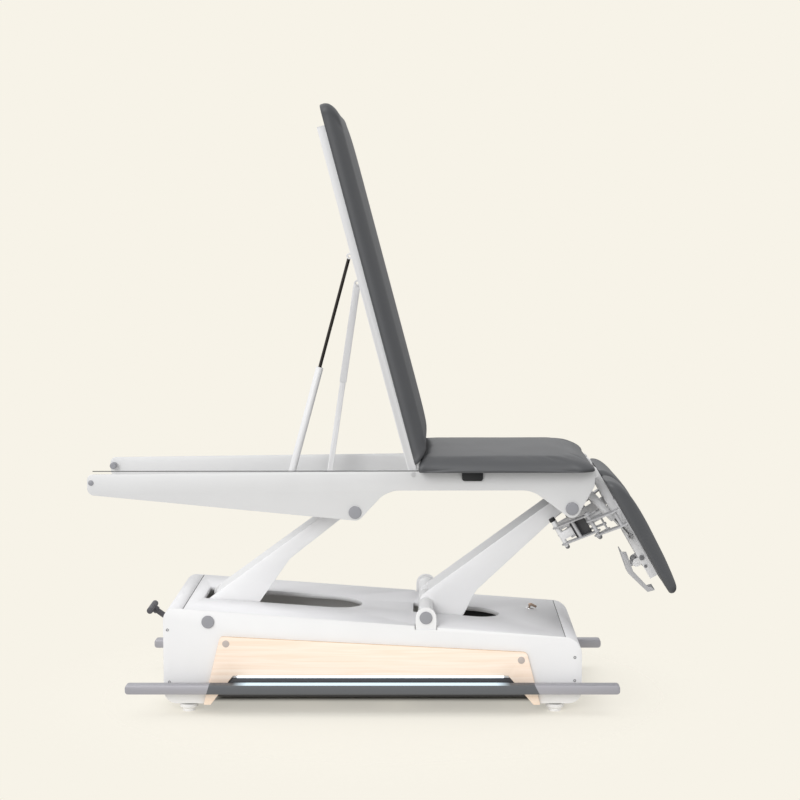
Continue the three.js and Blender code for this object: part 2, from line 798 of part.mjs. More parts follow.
function wheelset() {
  const outer = castor.wheelInner + castor.wheelWidth + running + castor.earWall;
  const parts = [rodY(castor.axleRadius, -outer, outer, 0, 0)];
  for (const { sign } of sides) {
    const [yMin, yMax] = span(sign, castor.wheelInner, castor.wheelInner + castor.wheelWidth);
    parts.push(rodY(castor.wheelRadius, yMin, yMax, 0, 0, 2 * tubeSides));
  }
  return join(...parts);
}

piece('castor_wheelset_left', wheelset(), 'castorGrey', table).position.set(-castor.wheelX, 0, castor.axleZ);
piece('castor_wheelset_right', wheelset(), 'castorGrey', table).position.set(castor.wheelX, 0, castor.axleZ);

// Lift actuator and its controls.
const actuatorGroup = new THREE.Group();
actuatorGroup.position.set(actuator.pivotX, 0, actuator.pivotZ);
actuatorGroup.rotation.y = -actuatorAngle;
table.add(actuatorGroup);

const motorEnd = actuator.motorStart + actuator.motorLength;

function actuatorHousing() {
  const whole = join(
    rodY(actuator.eyeRadius, -actuator.eyeHalf, actuator.eyeHalf, 0, 0),
    block(0, actuator.motorStart + weld, -actuator.eyeHalf, actuator.eyeHalf, -actuator.eyeRadius / 2,
      actuator.eyeRadius / 2),
    block(actuator.motorStart, motorEnd, -actuator.motorHalfWidth, actuator.motorHalfWidth,
      -actuator.motorDrop, actuator.tubeRadius + weld),
    rodX(actuator.tubeRadius, actuator.motorStart, actuator.tubeLength, 0, 0),
  );
  return cut(
    whole,
    rodX(actuator.boreRadius, motorEnd, actuator.tubeLength + overrun, 0, 0),
    rodY(actuator.pinRadius + running, -actuator.motorHalfWidth, actuator.motorHalfWidth, 0, 0),
  );
}

function actuatorRod() {
  const start = actuator.tubeLength - actuator.rodOverlap;
  const neck = actuatorLength - 2 * actuator.forkRadius;
  const outer = actuator.armLugHalf + running + actuator.forkWall;
  const parts = [
    rodX(actuator.rodRadius, start, neck + weld, 0, 0),
    block(neck, neck + actuator.forkWall, -outer, outer, -actuator.forkRadius, actuator.forkRadius),
  ];
  for (const { sign } of sides) {
    const [yMin, yMax] = span(sign, actuator.armLugHalf + running, outer);
    parts.push(block(neck, actuatorLength, yMin, yMax, -actuator.forkRadius, actuator.forkRadius));
    parts.push(rodY(actuator.forkRadius, yMin, yMax, actuatorLength, 0));
  }
  return join(...parts);
}

piece('actuator_housing', actuatorHousing(), 'black', actuatorGroup);
piece('actuator_rod', actuatorRod(), 'zinc', actuatorGroup);

// Control box with the mains inlet on its end, screwed to the last cross plate.
const control = {
  inset: 191,
  length: 118,
  halfWidth: 90,
  height: 56,
  shift: 60,
  corner: 8,
  inlet: 14,
  inletHalf: 24,
  inletRise: 20,
};
control.startX = base.halfLength - control.inset;

function controlBox() {
  const yMid = control.shift;
  const plan = rectangle(control.startX, control.startX + control.length, yMid - control.halfWidth,
    yMid + control.halfWidth, control.corner);
  const low = crossTop + touch;
  const box = plateZ(plan, low, low + control.height);
  const end = control.startX + control.length;
  const socket = block(end - weld, end + control.inlet, yMid - control.inletHalf, yMid + control.inletHalf,
    low + control.inletRise, low + control.height - control.corner);
  return join(box, socket);
}

piece('control_box', controlBox(), 'black', table);

// Motor cable: clipped between the control box and the motor block, slack for the lift's swing.
const cable = {
  radius: 3.5,
  steps: 34,
  sides: 6,
  y: 78,
  lift: 4,
  hump: 116,
};

function motorCable() {
  const startX = control.startX - touch;
  const low = crossTop + touch + cable.radius + cable.lift;
  const endX = actuator.pivotX + actuator.eyeRadius + actuator.motorLength / 2;
  const endY = actuator.motorHalfWidth + touch + weld;
  const run = startX - endX;
  const route = new THREE.CatmullRomCurve3([
    new THREE.Vector3(startX, cable.y, low + cable.hump / 4),
    new THREE.Vector3(startX - run / 20, cable.y, low + cable.hump / 4),
    new THREE.Vector3(startX - run / 7, cable.y * 0.8, low + cable.hump * 0.55),
    new THREE.Vector3(startX - run / 4.6, cable.y * 0.95, low + cable.hump * 0.62),
    new THREE.Vector3(startX - run / 3, cable.y, low + cable.hump * 0.35),
    new THREE.Vector3(startX - run / 2, cable.y, low + cable.hump / 8),
    new THREE.Vector3(endX + run / 6, cable.y, low + cable.hump / 8),
    new THREE.Vector3(endX, cable.y * 0.85, low + cable.hump / 4),
    new THREE.Vector3(endX, endY, low + cable.hump / 4),
  ]);
  const section = new THREE.Shape();
  for (let i = 0; i < cable.sides; i += 1) {
    const turn = (i / cable.sides) * 2 * Math.PI;
    const point = [cable.radius * Math.cos(turn), cable.radius * Math.sin(turn)];
    if (i === 0) section.moveTo(...point);
    else section.lineTo(...point);
  }
  section.closePath();
  const settings = { steps: cable.steps, extrudePath: route, bevelEnabled: false };
  return new THREE.ExtrudeGeometry(section, settings);
}

piece('motor_cable', motorCable(), 'black', table);

// Arms: folded channels, open underneath, with a hub tube across each end.
const arm = {
  wall: 5,
  hubRound: 29,
  hubGap: 2,
  rightHubInset: 14,
  upperHub: plateInner - touch,
  rightUpperHub: 110,
};
arm.lowerHub = frame.railOuter - frame.uprightWall - arm.hubGap;
arm.rightHubEnd = insideHalf - arm.rightHubInset;
const leftArm = {
  half: leftArmHalf,
  top: 36,
  neckS: 464,
  neckT: -3,
  waistS: 271,
  waistT: -10,
  flareS: 120,
  flareT: -62,
};
const rightArm = {
  half: rightArmHalf,
  top: 30,
  neckS: 483,
  neckT: -14,
  waistS: 144,
  waistT: -55,
  flareS: 72,
  flareT: -92,
};

function armOutline(shape) {
  return outline([
    [-arm.hubRound * 0.4, -arm.hubRound, arm.hubRound / 2],
    [shape.flareS * 0.55, shape.flareT, arm.hubRound / 2],
    [shape.flareS, shape.flareT, arm.hubRound / 3],
    [shape.waistS, shape.waistT, arm.hubRound * 2],
    [shape.neckS, shape.neckT, arm.hubRound],
    [lift.armLength + lift.hubRadius, -lift.hubRadius, lift.hubRadius * 0.8],
    [lift.armLength + lift.hubRadius, shape.top, lift.hubRadius * 0.8],
    [-arm.hubRound * 0.4, shape.top, arm.hubRound * 0.8],
  ]);
}

function armChannel(shape, lowerHalf, upperHalf) {
  const parts = [];
  for (const { sign } of sides) {
    const [yMin, yMax] = span(sign, shape.half - arm.wall, shape.half);
    parts.push(plateY(armOutline(shape), yMin, yMax));
  }
  parts.push(block(arm.hubRound, lift.armLength - arm.wall, -shape.half + weld, shape.half - weld,
    shape.top - arm.wall, shape.top));
  parts.push(rodY(lift.hubRadius, -lowerHalf, lowerHalf, 0, 0));
  parts.push(rodY(lift.hubRadius, -upperHalf, upperHalf, lift.armLength, 0));
  return parts;
}

function armBores(lowerHalf, upperHalf) {
  const bore = lift.shaftRadius + running;
  return [
    rodY(bore, -lowerHalf - overrun, lowerHalf + overrun, 0, 0),
    rodY(bore, -upperHalf - overrun, upperHalf + overrun, lift.armLength, 0),
  ];
}

const leftArmGroup = new THREE.Group();
leftArmGroup.position.set(leftFoot.x, 0, leftFoot.z);
leftArmGroup.rotation.y = -armAngle;
table.add(leftArmGroup);
const leftArmParts = armChannel(leftArm, arm.lowerHub, arm.upperHub);
const leftArmBores = armBores(arm.lowerHub, arm.upperHub);
piece('left_arm', cut(join(...leftArmParts), ...leftArmBores), 'whiteSteel', leftArmGroup);

const rightArmGroup = new THREE.Group();
rightArmGroup.position.set(rightFoot.x, 0, rightFoot.z);
rightArmGroup.rotation.y = -armAngle;
table.add(rightArmGroup);
const collar = { radius: 24, wall: 9 };

function rightArmSolid() {
  const parts = armChannel(rightArm, arm.rightHubEnd, arm.rightUpperHub);
  for (const { sign } of sides) {
    const [yMin, yMax] = span(sign, arm.rightHubEnd - collar.wall, arm.rightHubEnd);
    parts.push(rodY(collar.radius, yMin, yMax, 0, 0));
  }
  const turn = lugAngle - armAngle;
  const lugTip = { x: actuator.armRadius * Math.cos(turn), z: actuator.armRadius * Math.sin(turn) };
  const lug = new THREE.BoxGeometry(actuator.armRadius, 2 * actuator.armLugHalf, 2 * lift.shaftRadius);
  lug.rotateY(-turn).translate(lugTip.x / 2, 0, lugTip.z / 2);
  const half = actuator.armLugHalf;
  parts.push(lug);
  parts.push(rodY(actuator.forkRadius - weld, -half, half, lugTip.x, lugTip.z));
  return cut(
    join(...parts),
    ...armBores(arm.rightHubEnd, arm.rightUpperHub),
    rodY(actuator.pinRadius, -half - overrun, half + overrun, lugTip.x, lugTip.z),
  );
}

piece('right_arm', rightArmSolid(), 'whiteSteel', rightArmGroup);

// Pivot shafts: a steel shaft with a grey cap on each end.
function cappedShaft(inner, outer) {
  const parts = [rodY(lift.shaftRadius, -outer, outer, 0, 0)];
  for (const { sign } of sides) {
    const [yMin, yMax] = span(sign, inner, outer);
    parts.push(rodY(lift.capRadius, yMin, yMax, 0, 0));
  }
  return join(...parts);
}

const panelCap = cappedShaft(base.halfWidth + touch, base.halfWidth + lift.capDepth);
piece('base_shaft_left', panelCap, 'greyCap', table).position.set(leftFoot.x, 0, leftFoot.z);
const bearingCap = cappedShaft(insideHalf + touch, base.halfWidth + touch);
piece('base_shaft_right', bearingCap, 'greyCap', table).position.set(rightFoot.x, 0, rightFoot.z);

// Deck frame: two side plates, the shafts between them and the strut cross member.
const deckGroup = new THREE.Group();
deckGroup.position.set(leftHead.x, 0, deckTop);
table.add(deckGroup);
const rightPivot = { x: lift.spacing, z: lift.rise - deck.topAbovePivot };
const plate = {
  endDrop: 11,
  noseHeight: 70.3,
  noseCorner: 20,
  topCorner: 16,
  lobeTipX: 10,
  lobeTipBelow: 25.2,
  archDepth: 58.6,
  archLeft: 92.5,
  archRightBack: 115.6,
  archCorner: 80,
  rightTipX: 7,
  rightTipBelow: 38.5,
  edgeLow: 46,
  edgeCorner: 20,
  squareCorner: 3,
  breakX: 180,
};
const hinge = { shaftRadius: 8, headShaftRadius: 6, earRadius: 11, earWall: 6, earLength: 40 };

function deckPlate(sign) {
  const shape = outline([
    [deck.rightEnd, 0, plate.squareCorner],
    [plate.breakX, 0],
    [deck.leftEnd, -plate.endDrop, plate.topCorner],
    [deck.leftEnd, -plate.noseHeight, plate.noseCorner],
    [plate.lobeTipX, -deck.topAbovePivot - plate.lobeTipBelow, deck.lobeRadius],
    [plate.archLeft, -plate.archDepth, plate.archCorner],
    [rightPivot.x - plate.archRightBack, -plate.archDepth, plate.archCorner],
    [rightPivot.x + plate.rightTipX, rightPivot.z - plate.rightTipBelow, deck.lobeRadius],
    [deck.rightEnd, -plate.edgeLow, plate.edgeCorner],
  ]);
  const [yMin, yMax] = span(sign, plateInner, deck.plateOuter);
  const [earMin, earMax] = span(sign, plateInner - hinge.earWall, plateInner + weld);
  const ear = outline([
    [deck.headHingeX - hinge.earLength, -deck.hingeDrop - hinge.earRadius],
    [deck.headHingeX + hinge.earRadius, -deck.hingeDrop - hinge.earRadius, hinge.earRadius - touch],
    [deck.headHingeX + hinge.earRadius, -deck.hingeDrop + hinge.earRadius, hinge.earRadius - touch],
    [deck.headHingeX - hinge.earLength, -deck.hingeDrop + hinge.earRadius],
  ]);
  const all = [-deck.plateOuter - overrun, deck.plateOuter + overrun];
  const pivotBore = lift.shaftRadius + running;
  return cut(
    join(plateY(shape, yMin, yMax), plateY(ear, earMin, earMax)),
    rodY(pivotBore, ...all, 0, -deck.topAbovePivot),
    rodY(pivotBore, ...all, rightPivot.x, rightPivot.z),
    rodY(hinge.shaftRadius + touch, ...all, deck.backHingeX, -deck.hingeDrop),
    rodY(hinge.headShaftRadius + touch, ...all, deck.headHingeX, -deck.hingeDrop),
    rodY(buffer.boltRadius + touch, ...all, buffer.x, -buffer.drop, tubeSides),
  );
}

// Rubber buffers under the flat backrest's rails, each held by a bolt through its plate.
const buffer = { inset: 11, radius: 10, boltRadius: 4, headRadius: 8, headDepth: 4, width: 28 };
buffer.x = deck.leftEnd + buffer.inset;
buffer.drop = railSection + touch + buffer.radius;

for (const { name, sign } of sides) {
  piece(`deck_plate_${name}`, deckPlate(sign), 'deckSteel', deckGroup);
  const [rubberMin, rubberMax] = span(sign, plateInner - touch - buffer.width, plateInner - touch);
  const [boltMin, boltMax] = span(sign, plateInner - touch - weld, deck.plateOuter + touch + weld);
  const [headMin, headMax] = span(sign, deck.plateOuter + touch, deck.plateOuter + buffer.headDepth);
  const rubber = join(
    rodY(buffer.radius, rubberMin, rubberMax, 0, 0),
    rodY(buffer.boltRadius, boltMin, boltMax, 0, 0, tubeSides),
    rodY(buffer.headRadius, headMin, headMax, 0, 0),
  );
  piece(`buffer_${name}`, rubber, 'greyCap', deckGroup).position.set(buffer.x, 0, -buffer.drop);
}

// Head gas spring: its tube is pinned to a lug on the right arm's upper shaft.
const headSpring = {
  anchorShift: 39.6,
  anchorRise: 51.1,
  y: -140,
  eyeU: 222,
  eyeN: -1,
  eyeHalf: 6,
  eyeRadius: 8,
  pinRadius: 4,
  cheekWall: 4,
  lugRound: 15,
  tubeRadius: 11.5,
  tubeStart: 20,
  tubeLength: 130,
  boreRadius: 5.6,
  rodRadius: 5,
  rodStart: 36,
};
headSpring.anchorX = rightPivot.x + headSpring.anchorShift;
headSpring.anchorZ = rightPivot.z + headSpring.anchorRise;

function rightShaft() {
  const capInner = deck.plateOuter + touch;
  const parts = [cappedShaft(capInner, capInner + lift.capDepth)];
  const dx = headSpring.anchorX - rightPivot.x;
  const dz = headSpring.anchorZ - rightPivot.z;
  const lugTurn = Math.atan2(dz, dx);
  const lugLength = Math.hypot(dx, dz);
  for (const { sign } of sides) {
    const near = headSpring.eyeHalf + running;
    const [from, to] = span(sign, near, near + headSpring.cheekWall);
    const cheek = outline([
      [0, -headSpring.lugRound, headSpring.lugRound / 2],
      [lugLength + headSpring.eyeRadius, -headSpring.eyeRadius, headSpring.eyeRadius - touch],
      [lugLength + headSpring.eyeRadius, headSpring.eyeRadius, headSpring.eyeRadius - touch],
      [0, headSpring.lugRound, headSpring.lugRound / 2],
    ]);
    const geometry = plateY(cheek, headSpring.y + from, headSpring.y + to);
    parts.push(geometry.rotateY(-lugTurn));
  }
  const pinHalf = headSpring.eyeHalf + running + headSpring.cheekWall;
  parts.push(rodY(headSpring.pinRadius, headSpring.y - pinHalf, headSpring.y + pinHalf, dx, dz, tubeSides));
  return join(...parts);
}

const plateCap = cappedShaft(deck.plateOuter + touch, deck.plateOuter + touch + lift.capDepth);
piece('deck_shaft_left', plateCap, 'greyCap', deckGroup).position.set(0, 0, -deck.topAbovePivot);
piece('deck_shaft_right', rightShaft(), 'greyCap', deckGroup).position.set(rightPivot.x, 0, rightPivot.z);

const backShaft = rodY(hinge.shaftRadius, -deck.plateOuter, deck.plateOuter, 0, 0);
piece('backrest_hinge_shaft', backShaft, 'zinc', deckGroup)
  .position.set(deck.backHingeX, 0, -deck.hingeDrop);
const headShaftHalf = plateInner - touch;
const headShaft = rodY(hinge.headShaftRadius, -headShaftHalf, headShaftHalf, 0, 0, tubeSides);
piece('head_hinge_shaft', headShaft, 'zinc', deckGroup).position.set(deck.headHingeX, 0, -deck.hingeDrop);

// Struts behind the backrest: a gas spring on a sliding block and a telescopic stay.
const strut = {
  pivotDrop: 59,
  gasX: -203,
  gasY: -60,
  gasTravel: 105.5,
  stayX: -89,
  stayY: 60,
  gasS: 658,
  gasN: -23,
  stayS: 573,
  stayN: -26,
  eyeHalf: 6,
  eyeRadius: 9,
  pinRadius: 4,
  cheekWall: 4,
  tubeRadius: 11,
  tubeStart: 15,
  tubeLength: 361,
  boreRadius: 5.6,
  rodRadius: 5,
  rodOverlap: 25,
  stayHeight: 20.5,
  stayWidth: 17,
  stayWall: 1.6,
  stayOuter: 302.6,
  stayBlock: 12,
  stayInner: 301.8,
};
const slide = {
  leftReach: 28,
  rightReach: 21,
  floorDrop: 91,
  floorWall: 6,
  wall: 4,
  wallTop: 73,
  half: 18,
  blockHalf: 19,
  blockTop: 77,
  stayFoot: 10,
  stayTop: 8,
};

slide.left = strut.gasX - slide.leftReach;
slide.right = strut.stayX + slide.rightReach;

function strutCrossMember() {
  const low = -slide.floorDrop;
  const floorTop = low + slide.floorWall;
  const parts = [block(slide.left, slide.right, -plateInner + touch, plateInner - touch, low, floorTop)];
  for (const { sign } of sides) {
    const [yMin, yMax] = span(sign, slide.half, slide.half + slide.wall);
    parts.push(block(slide.left, slide.right, strut.gasY + yMin, strut.gasY + yMax, floorTop - weld,
      -slide.wallTop));
    const near = strut.eyeHalf + running;
    const [from, to] = span(sign, near, near + strut.cheekWall);
    const cheek = outline([
      [strut.stayX - slide.stayFoot, floorTop - weld],
      [strut.stayX + slide.stayFoot, floorTop - weld],
      [strut.stayX + slide.stayTop, -strut.pivotDrop + slide.stayTop, strut.eyeRadius / 2],
      [strut.stayX - slide.stayTop, -strut.pivotDrop + slide.stayTop, strut.eyeRadius / 2],
    ]);
    parts.push(plateY(cheek, strut.stayY + from, strut.stayY + to));
  }
  const pinHalf = strut.eyeHalf + running + strut.cheekWall;
  parts.push(rodY(strut.pinRadius, strut.stayY - pinHalf, strut.stayY + pinHalf, strut.stayX,
    -strut.pivotDrop, tubeSides));
  return join(...parts);
}

function slidingBlock() {
  const low = -slide.floorDrop + slide.floorWall + touch;
  const parts = [
    block(-slide.blockHalf, slide.blockHalf, -slide.half + touch, slide.half - touch, low, -slide.blockTop),
  ];
  for (const { sign } of sides) {
    const near = strut.eyeHalf + running;
    const [from, to] = span(sign, near, near + strut.cheekWall);
    const cheek = outline([
      [-strut.eyeRadius, -slide.blockTop - weld],
      [strut.eyeRadius, -slide.blockTop - weld],
      [strut.eyeRadius, -strut.pivotDrop + strut.eyeRadius, strut.eyeRadius / 2],
      [-strut.eyeRadius, -strut.pivotDrop + strut.eyeRadius, strut.eyeRadius / 2],
    ]);
    parts.push(plateY(cheek, from, to));
  }
  const pinHalf = strut.eyeHalf + running + strut.cheekWall;
  parts.push(rodY(strut.pinRadius, -pinHalf, pinHalf, 0, -strut.pivotDrop, tubeSides));
  return join(...parts);
}

piece('strut_cross_member', strutCrossMember(), 'deckSteel', deckGroup);
piece('gas_spring_slider', slidingBlock(), 'zinc', deckGroup).position.set(strut.gasX, strut.gasY, 0);

// Places on the raised backrest, in the deck's own axes.
const backPlace = (s, n) => ({
  x: deck.backHingeX - s * Math.cos(backAngle) + n * Math.sin(backAngle),
  z: -deck.hingeDrop + s * Math.sin(backAngle) + n * Math.cos(backAngle),
});
const gasEye = backPlace(strut.gasS, strut.gasN);
const stayEye = backPlace(strut.stayS, strut.stayN);
const gasRun = { x: gasEye.x - strut.gasX, z: gasEye.z + strut.pivotDrop };
const stayRun = { x: stayEye.x - strut.stayX, z: stayEye.z + strut.pivotDrop };
const gasLength = Math.hypot(gasRun.x, gasRun.z);
const stayLength = Math.hypot(stayRun.x, stayRun.z);

function springTube(size) {
  const whole = join(
    rodY(size.eyeRadius, -size.eyeHalf, size.eyeHalf, 0, 0, shaftSides),
    block(0, size.tubeStart + weld, -size.eyeHalf, size.eyeHalf, -size.eyeRadius / 2, size.eyeRadius / 2),
    rodX(size.tubeRadius, size.tubeStart, size.tubeLength, 0, 0),
  );
  const bottom = size.tubeStart + size.eyeRadius;
  return cut(
    whole,
    rodX(size.boreRadius, bottom, size.tubeLength + overrun, 0, 0, shaftSides),
    rodY(size.pinRadius + running, -size.tubeRadius, size.tubeRadius, 0, 0, tubeSides),
  );
}

function springRod(size, start, length) {
  const whole = join(
    rodX(size.rodRadius, start, length, 0, 0, shaftSides),
    rodY(size.eyeRadius, -size.eyeHalf, size.eyeHalf, length, 0, tubeSides),
  );
  return cut(whole, rodY(size.pinRadius + running, -size.tubeRadius, size.tubeRadius, length, 0, tubeSides));
}

const gasGroup = new THREE.Group();
gasGroup.position.set(strut.gasX, strut.gasY, -strut.pivotDrop);
gasGroup.rotation.y = -Math.atan2(gasRun.z, gasRun.x);
deckGroup.add(gasGroup);
piece('gas_spring_tube', springTube(strut), 'whiteSteel', gasGroup);
const gasRod = springRod(strut, strut.tubeLength - strut.rodOverlap, gasLength);
piece('gas_spring_rod', gasRod, 'brightRod', gasGroup);

function stayInner() {
  const halfZ = strut.stayHeight / 2 - strut.stayWall - touch;
  const halfY = strut.eyeHalf;
  const whole = join(
    block(0, strut.stayInner, -halfY, halfY, -halfZ, halfZ),
    rodY(strut.eyeRadius, -halfY, halfY, 0, 0, tubeSides),
  );
  return cut(whole, rodY(strut.pinRadius + running, -halfY - overrun, halfY + overrun, 0, 0, tubeSides));
}

function stayOuter() {
  const half = { z: strut.stayHeight / 2, y: strut.stayWidth / 2 };
  const start = stayLength - strut.stayOuter;
  const blockStart = stayLength - strut.stayBlock;
  const whole = join(
    block(start, blockStart + weld, -half.y, half.y, -half.z, half.z),
    block(blockStart, stayLength, -strut.eyeHalf, strut.eyeHalf, -half.z, half.z),
    rodY(strut.eyeRadius, -strut.eyeHalf, strut.eyeHalf, stayLength, 0, tubeSides),
  );
  const wall = strut.stayWall;
  return cut(
    whole,
    block(start - overrun, blockStart, -half.y + wall, half.y - wall, -half.z + wall, half.z - wall),
    rodY(strut.pinRadius + running, -half.y - overrun, half.y + overrun, stayLength, 0, tubeSides),
  );
}

const stayGroup = new THREE.Group();
stayGroup.position.set(strut.stayX, strut.stayY, -strut.pivotDrop);
stayGroup.rotation.y = -Math.atan2(stayRun.z, stayRun.x);
deckGroup.add(stayGroup);
piece('stay_inner', stayInner(), 'whiteSteel', stayGroup);
piece('stay_outer', stayOuter(), 'whiteSteel', stayGroup);

// Cushions: rings of a rounded outline climb from the flat underside over the side, round
// the ends and rise to the crown. The sides draw in between the corners.
function cushion({ xMin, xMax, yMin, yMax, thickness, crown, endMin, endMax, cornerMin, cornerMax,
  slantMin = false }) {
  const cornerSteps = 4;
  const longSteps = 6;
  const shortSteps = 4;
  const sideTurns = [0, 22.5, 45, 67.5, 90].map(degrees);
  const halfX = (xMax - xMin) / 2;
  const halfY = (yMax - yMin) / 2;
  const sideRound = Math.min(pad.sideRound, halfY / 2);
  const middleX = (xMin + xMax) / 2;
  const middleY = (yMin + yMax) / 2;
  const rings = [];
  const ring = (insetMin, insetMax, insetSide, height, draw) => {
    const left = xMin + insetMin;
    const right = xMax - insetMax;
    const low = yMin + insetSide;
    const high = yMax - insetSide;
    const points = [];
    const corners = [
      { x: left, y: low, r: cornerMin, from: Math.PI },
      { x: right, y: low, r: cornerMax, from: Math.PI * 1.5 },
      { x: right, y: high, r: cornerMax, from: 0 },
      { x: left, y: high, r: cornerMin, from: Math.PI / 2 },
    ];
    const inwards = [[1, 1], [-1, 1], [-1, -1], [1, -1]];
    corners.forEach((corner, i) => {
      const limit = Math.min((right - left) / 2, (high - low) / 2) * 0.98;
      const radius = Math.min(Math.max(corner.r - insetSide / 2, corner.r / 3), limit);
      const cx = corner.x + inwards[i][0] * radius;
      const cy = corner.y + inwards[i][1] * radius;
      for (let k = 0; k <= cornerSteps; k += 1) {
        const turn = corner.from + (k / cornerSteps) * (Math.PI / 2);
        points.push([cx + radius * Math.cos(turn), cy + radius * Math.sin(turn)]);
      }
    });
    const full = [];
    points.forEach((point, i) => {
      full.push(point);
      const lastOfCorner = i % (cornerSteps + 1) === cornerSteps;
      if (!lastOfCorner) return;
      const next = points[(i + 1) % points.length];
      const steps = Math.floor(i / (cornerSteps + 1)) % 2 === 0 ? longSteps : shortSteps;
      for (let k = 1; k < steps; k += 1) {
        full.push([
          point[0] + ((next[0] - point[0]) * k) / steps,
          point[1] + ((next[1] - point[1]) * k) / steps,
        ]);
      }
    });
    rings.push(
      full.map(([x, y]) => {
        const shareX = (x - middleX) / halfX;
        const shareY = (y - middleY) / halfY;
        const pullY = draw * (1 - shareX * shareX) * Math.sign(shareY) * Math.abs(shareY) ** 3;
        const pullX = (draw / 2) * (1 - shareY * shareY) * Math.sign(shareX) * Math.abs(shareX) ** 3;
        return new THREE.Vector3(x - pullX, y - pullY, height);
      }),
    );
  };
  ring(pad.seamInset, pad.seamInset, pad.seamInset, 0, pad.drawIn);
  for (const turn of sideTurns) {
    const share = 1 - Math.cos(turn);
    const rise = pad.seamHeight + (thickness - pad.seamHeight) * Math.sin(turn);
    const leftShare = slantMin ? Math.sin(turn) : share;
    ring(endMin * leftShare, endMax * share, sideRound * share, rise, pad.drawIn * Math.cos(turn));
  }
  for (const share of [0.45]) {
    const inset = sideRound + (halfY - sideRound) * share;
    const rise = thickness + crown * (1 - (1 - share) ** 2);
    ring(endMin + inset - sideRound, endMax + inset - sideRound, inset, rise, 0);
  }
  const places = [];
  rings.forEach((points) => points.forEach((point) => places.push(point.x, point.y, point.z)));
  const count = rings[0].length;
  const bottom = places.length / 3;
  places.push(middleX, middleY, 0);
  places.push(middleX + (endMin - endMax) / 2, middleY, thickness + crown);
  const faces = [];
  for (let i = 0; i < count; i += 1) {
    const next = (i + 1) % count;
    faces.push(bottom, next, i);
    const last = (rings.length - 1) * count;
    faces.push(bottom + 1, last + i, last + next);
    for (let level = 0; level + 1 < rings.length; level += 1) {
      const a = level * count + i;
      const b = level * count + next;
      faces.push(a, b, b + count, a, b + count, a + count);
    }
  }
  const geometry = new THREE.BufferGeometry();
  geometry.setAttribute('position', new THREE.Float32BufferAttribute(places, 3));
  geometry.setIndex(faces);
  return geometry;
}

// Seat pad on the deck plates.
const seat = {
  left: 181.5,
  thickness: 44,
  crown: 8,
  slant: 41,
  roundEnd: 88,
  cornerLeft: 14,
  cornerRight: 60,
};
const seatForm = cushion({
  xMin: seat.left,
  xMax: deck.rightEnd,
  yMin: -pad.halfWidth,
  yMax: pad.halfWidth,
  thickness: seat.thickness,
  crown: seat.crown,
  endMin: seat.slant,
  endMax: seat.roundEnd,
  cornerMin: seat.cornerLeft,
  cornerMax: seat.cornerRight,
  slantMin: true,
});
piece('seat_pad', seatForm, 'upholstery', deckGroup).position.set(0, 0, touch);

// Backrest: two box rails with flat cross bars, and its pad. In its own axes the rails run
// towards -X from the hinge and the pad lies on top.
const backGroup = new THREE.Group();
backGroup.position.set(deck.backHingeX, 0, -deck.hingeDrop);
backGroup.rotation.y = backAngle;
deckGroup.add(backGroup);
const back = {
  railGap: 3,
  railWall: 2.5,
  railLength: 1036,
  barHalf: 18,
  barWall: 6,
  barShares: [0.09, 0.35, 0.96],
  padStart: 22,
  padLength: 1076,
  thickness: 42,
  crown: 4,
  padRoundLow: 66,
  padRoundHigh: 40,
  cornerLow: 18,
  cornerHigh: 70,
};
back.railOuter = plateInner - back.railGap;
const railHalf = railSection / 2;

function boxRail(start, end, inner, outer, wall) {
  const shape = rectangle(inner, outer, -railHalf, railHalf);
  shape.holes.push(rectangle(inner + wall, outer - wall, -railHalf + wall, railHalf - wall));
  return plateX(shape, start, end);
}

function eyeCheeks(x, y, z) {
  return sides.map(({ sign }) => {
    const near = strut.eyeHalf + running;
    const [from, to] = span(sign, near, near + strut.cheekWall);
    const cheek = outline([
      [x - strut.eyeRadius, z - strut.eyeRadius, strut.eyeRadius - touch],
      [x + strut.eyeRadius, z - strut.eyeRadius, strut.eyeRadius - touch],
      [x + strut.eyeRadius, railHalf - weld],
      [x - strut.eyeRadius, railHalf - weld],
    ]);
    return plateY(cheek, y + from, y + to);
  });
}

function backFrame() {
  const parts = [];
  for (const { sign } of sides) {
    const [yMin, yMax] = span(sign, back.railOuter - railSection, back.railOuter);
    parts.push(boxRail(-back.railLength, 0, yMin, yMax, back.railWall));
    parts.push(rodY(railHalf, yMin, yMax, 0, 0));
  }
  const inner = back.railOuter - railSection + back.railWall / 2;
  const places = back.barShares.map((share) => -share * back.railLength);
  for (const x of [...places, -strut.gasS, -strut.stayS]) {
    parts.push(block(x - back.barHalf, x + back.barHalf, -inner, inner, railHalf - back.barWall, railHalf));
  }
  parts.push(...eyeCheeks(-strut.gasS, strut.gasY, strut.gasN));
  parts.push(...eyeCheeks(-strut.stayS, strut.stayY, strut.stayN));
  const bore = hinge.shaftRadius + running;
  const wide = back.railOuter + overrun;
  const eyeBore = strut.pinRadius + running;
  const reach = strut.eyeHalf + strut.cheekWall + overrun;
  return cut(
    join(...parts),
    rodY(bore, -wide, wide, 0, 0),
    rodY(eyeBore, strut.gasY - reach, strut.gasY + reach, -strut.gasS, strut.gasN, tubeSides),
    rodY(eyeBore, strut.stayY - reach, strut.stayY + reach, -strut.stayS, strut.stayN, tubeSides),
  );
}

piece('back_frame', backFrame(), 'whiteSteel', backGroup);
const backForm = cushion({
  xMin: -back.padStart - back.padLength,
  xMax: -back.padStart,
  yMin: -pad.halfWidth,
  yMax: pad.halfWidth,
  thickness: back.thickness,
  crown: back.crown,
  endMin: back.padRoundHigh,
  endMax: back.padRoundLow,
  cornerMin: back.cornerHigh,
  cornerMax: back.cornerLow,
});
piece('back_pad', backForm, 'upholstery', backGroup).position.set(0, 0, padRest + touch);

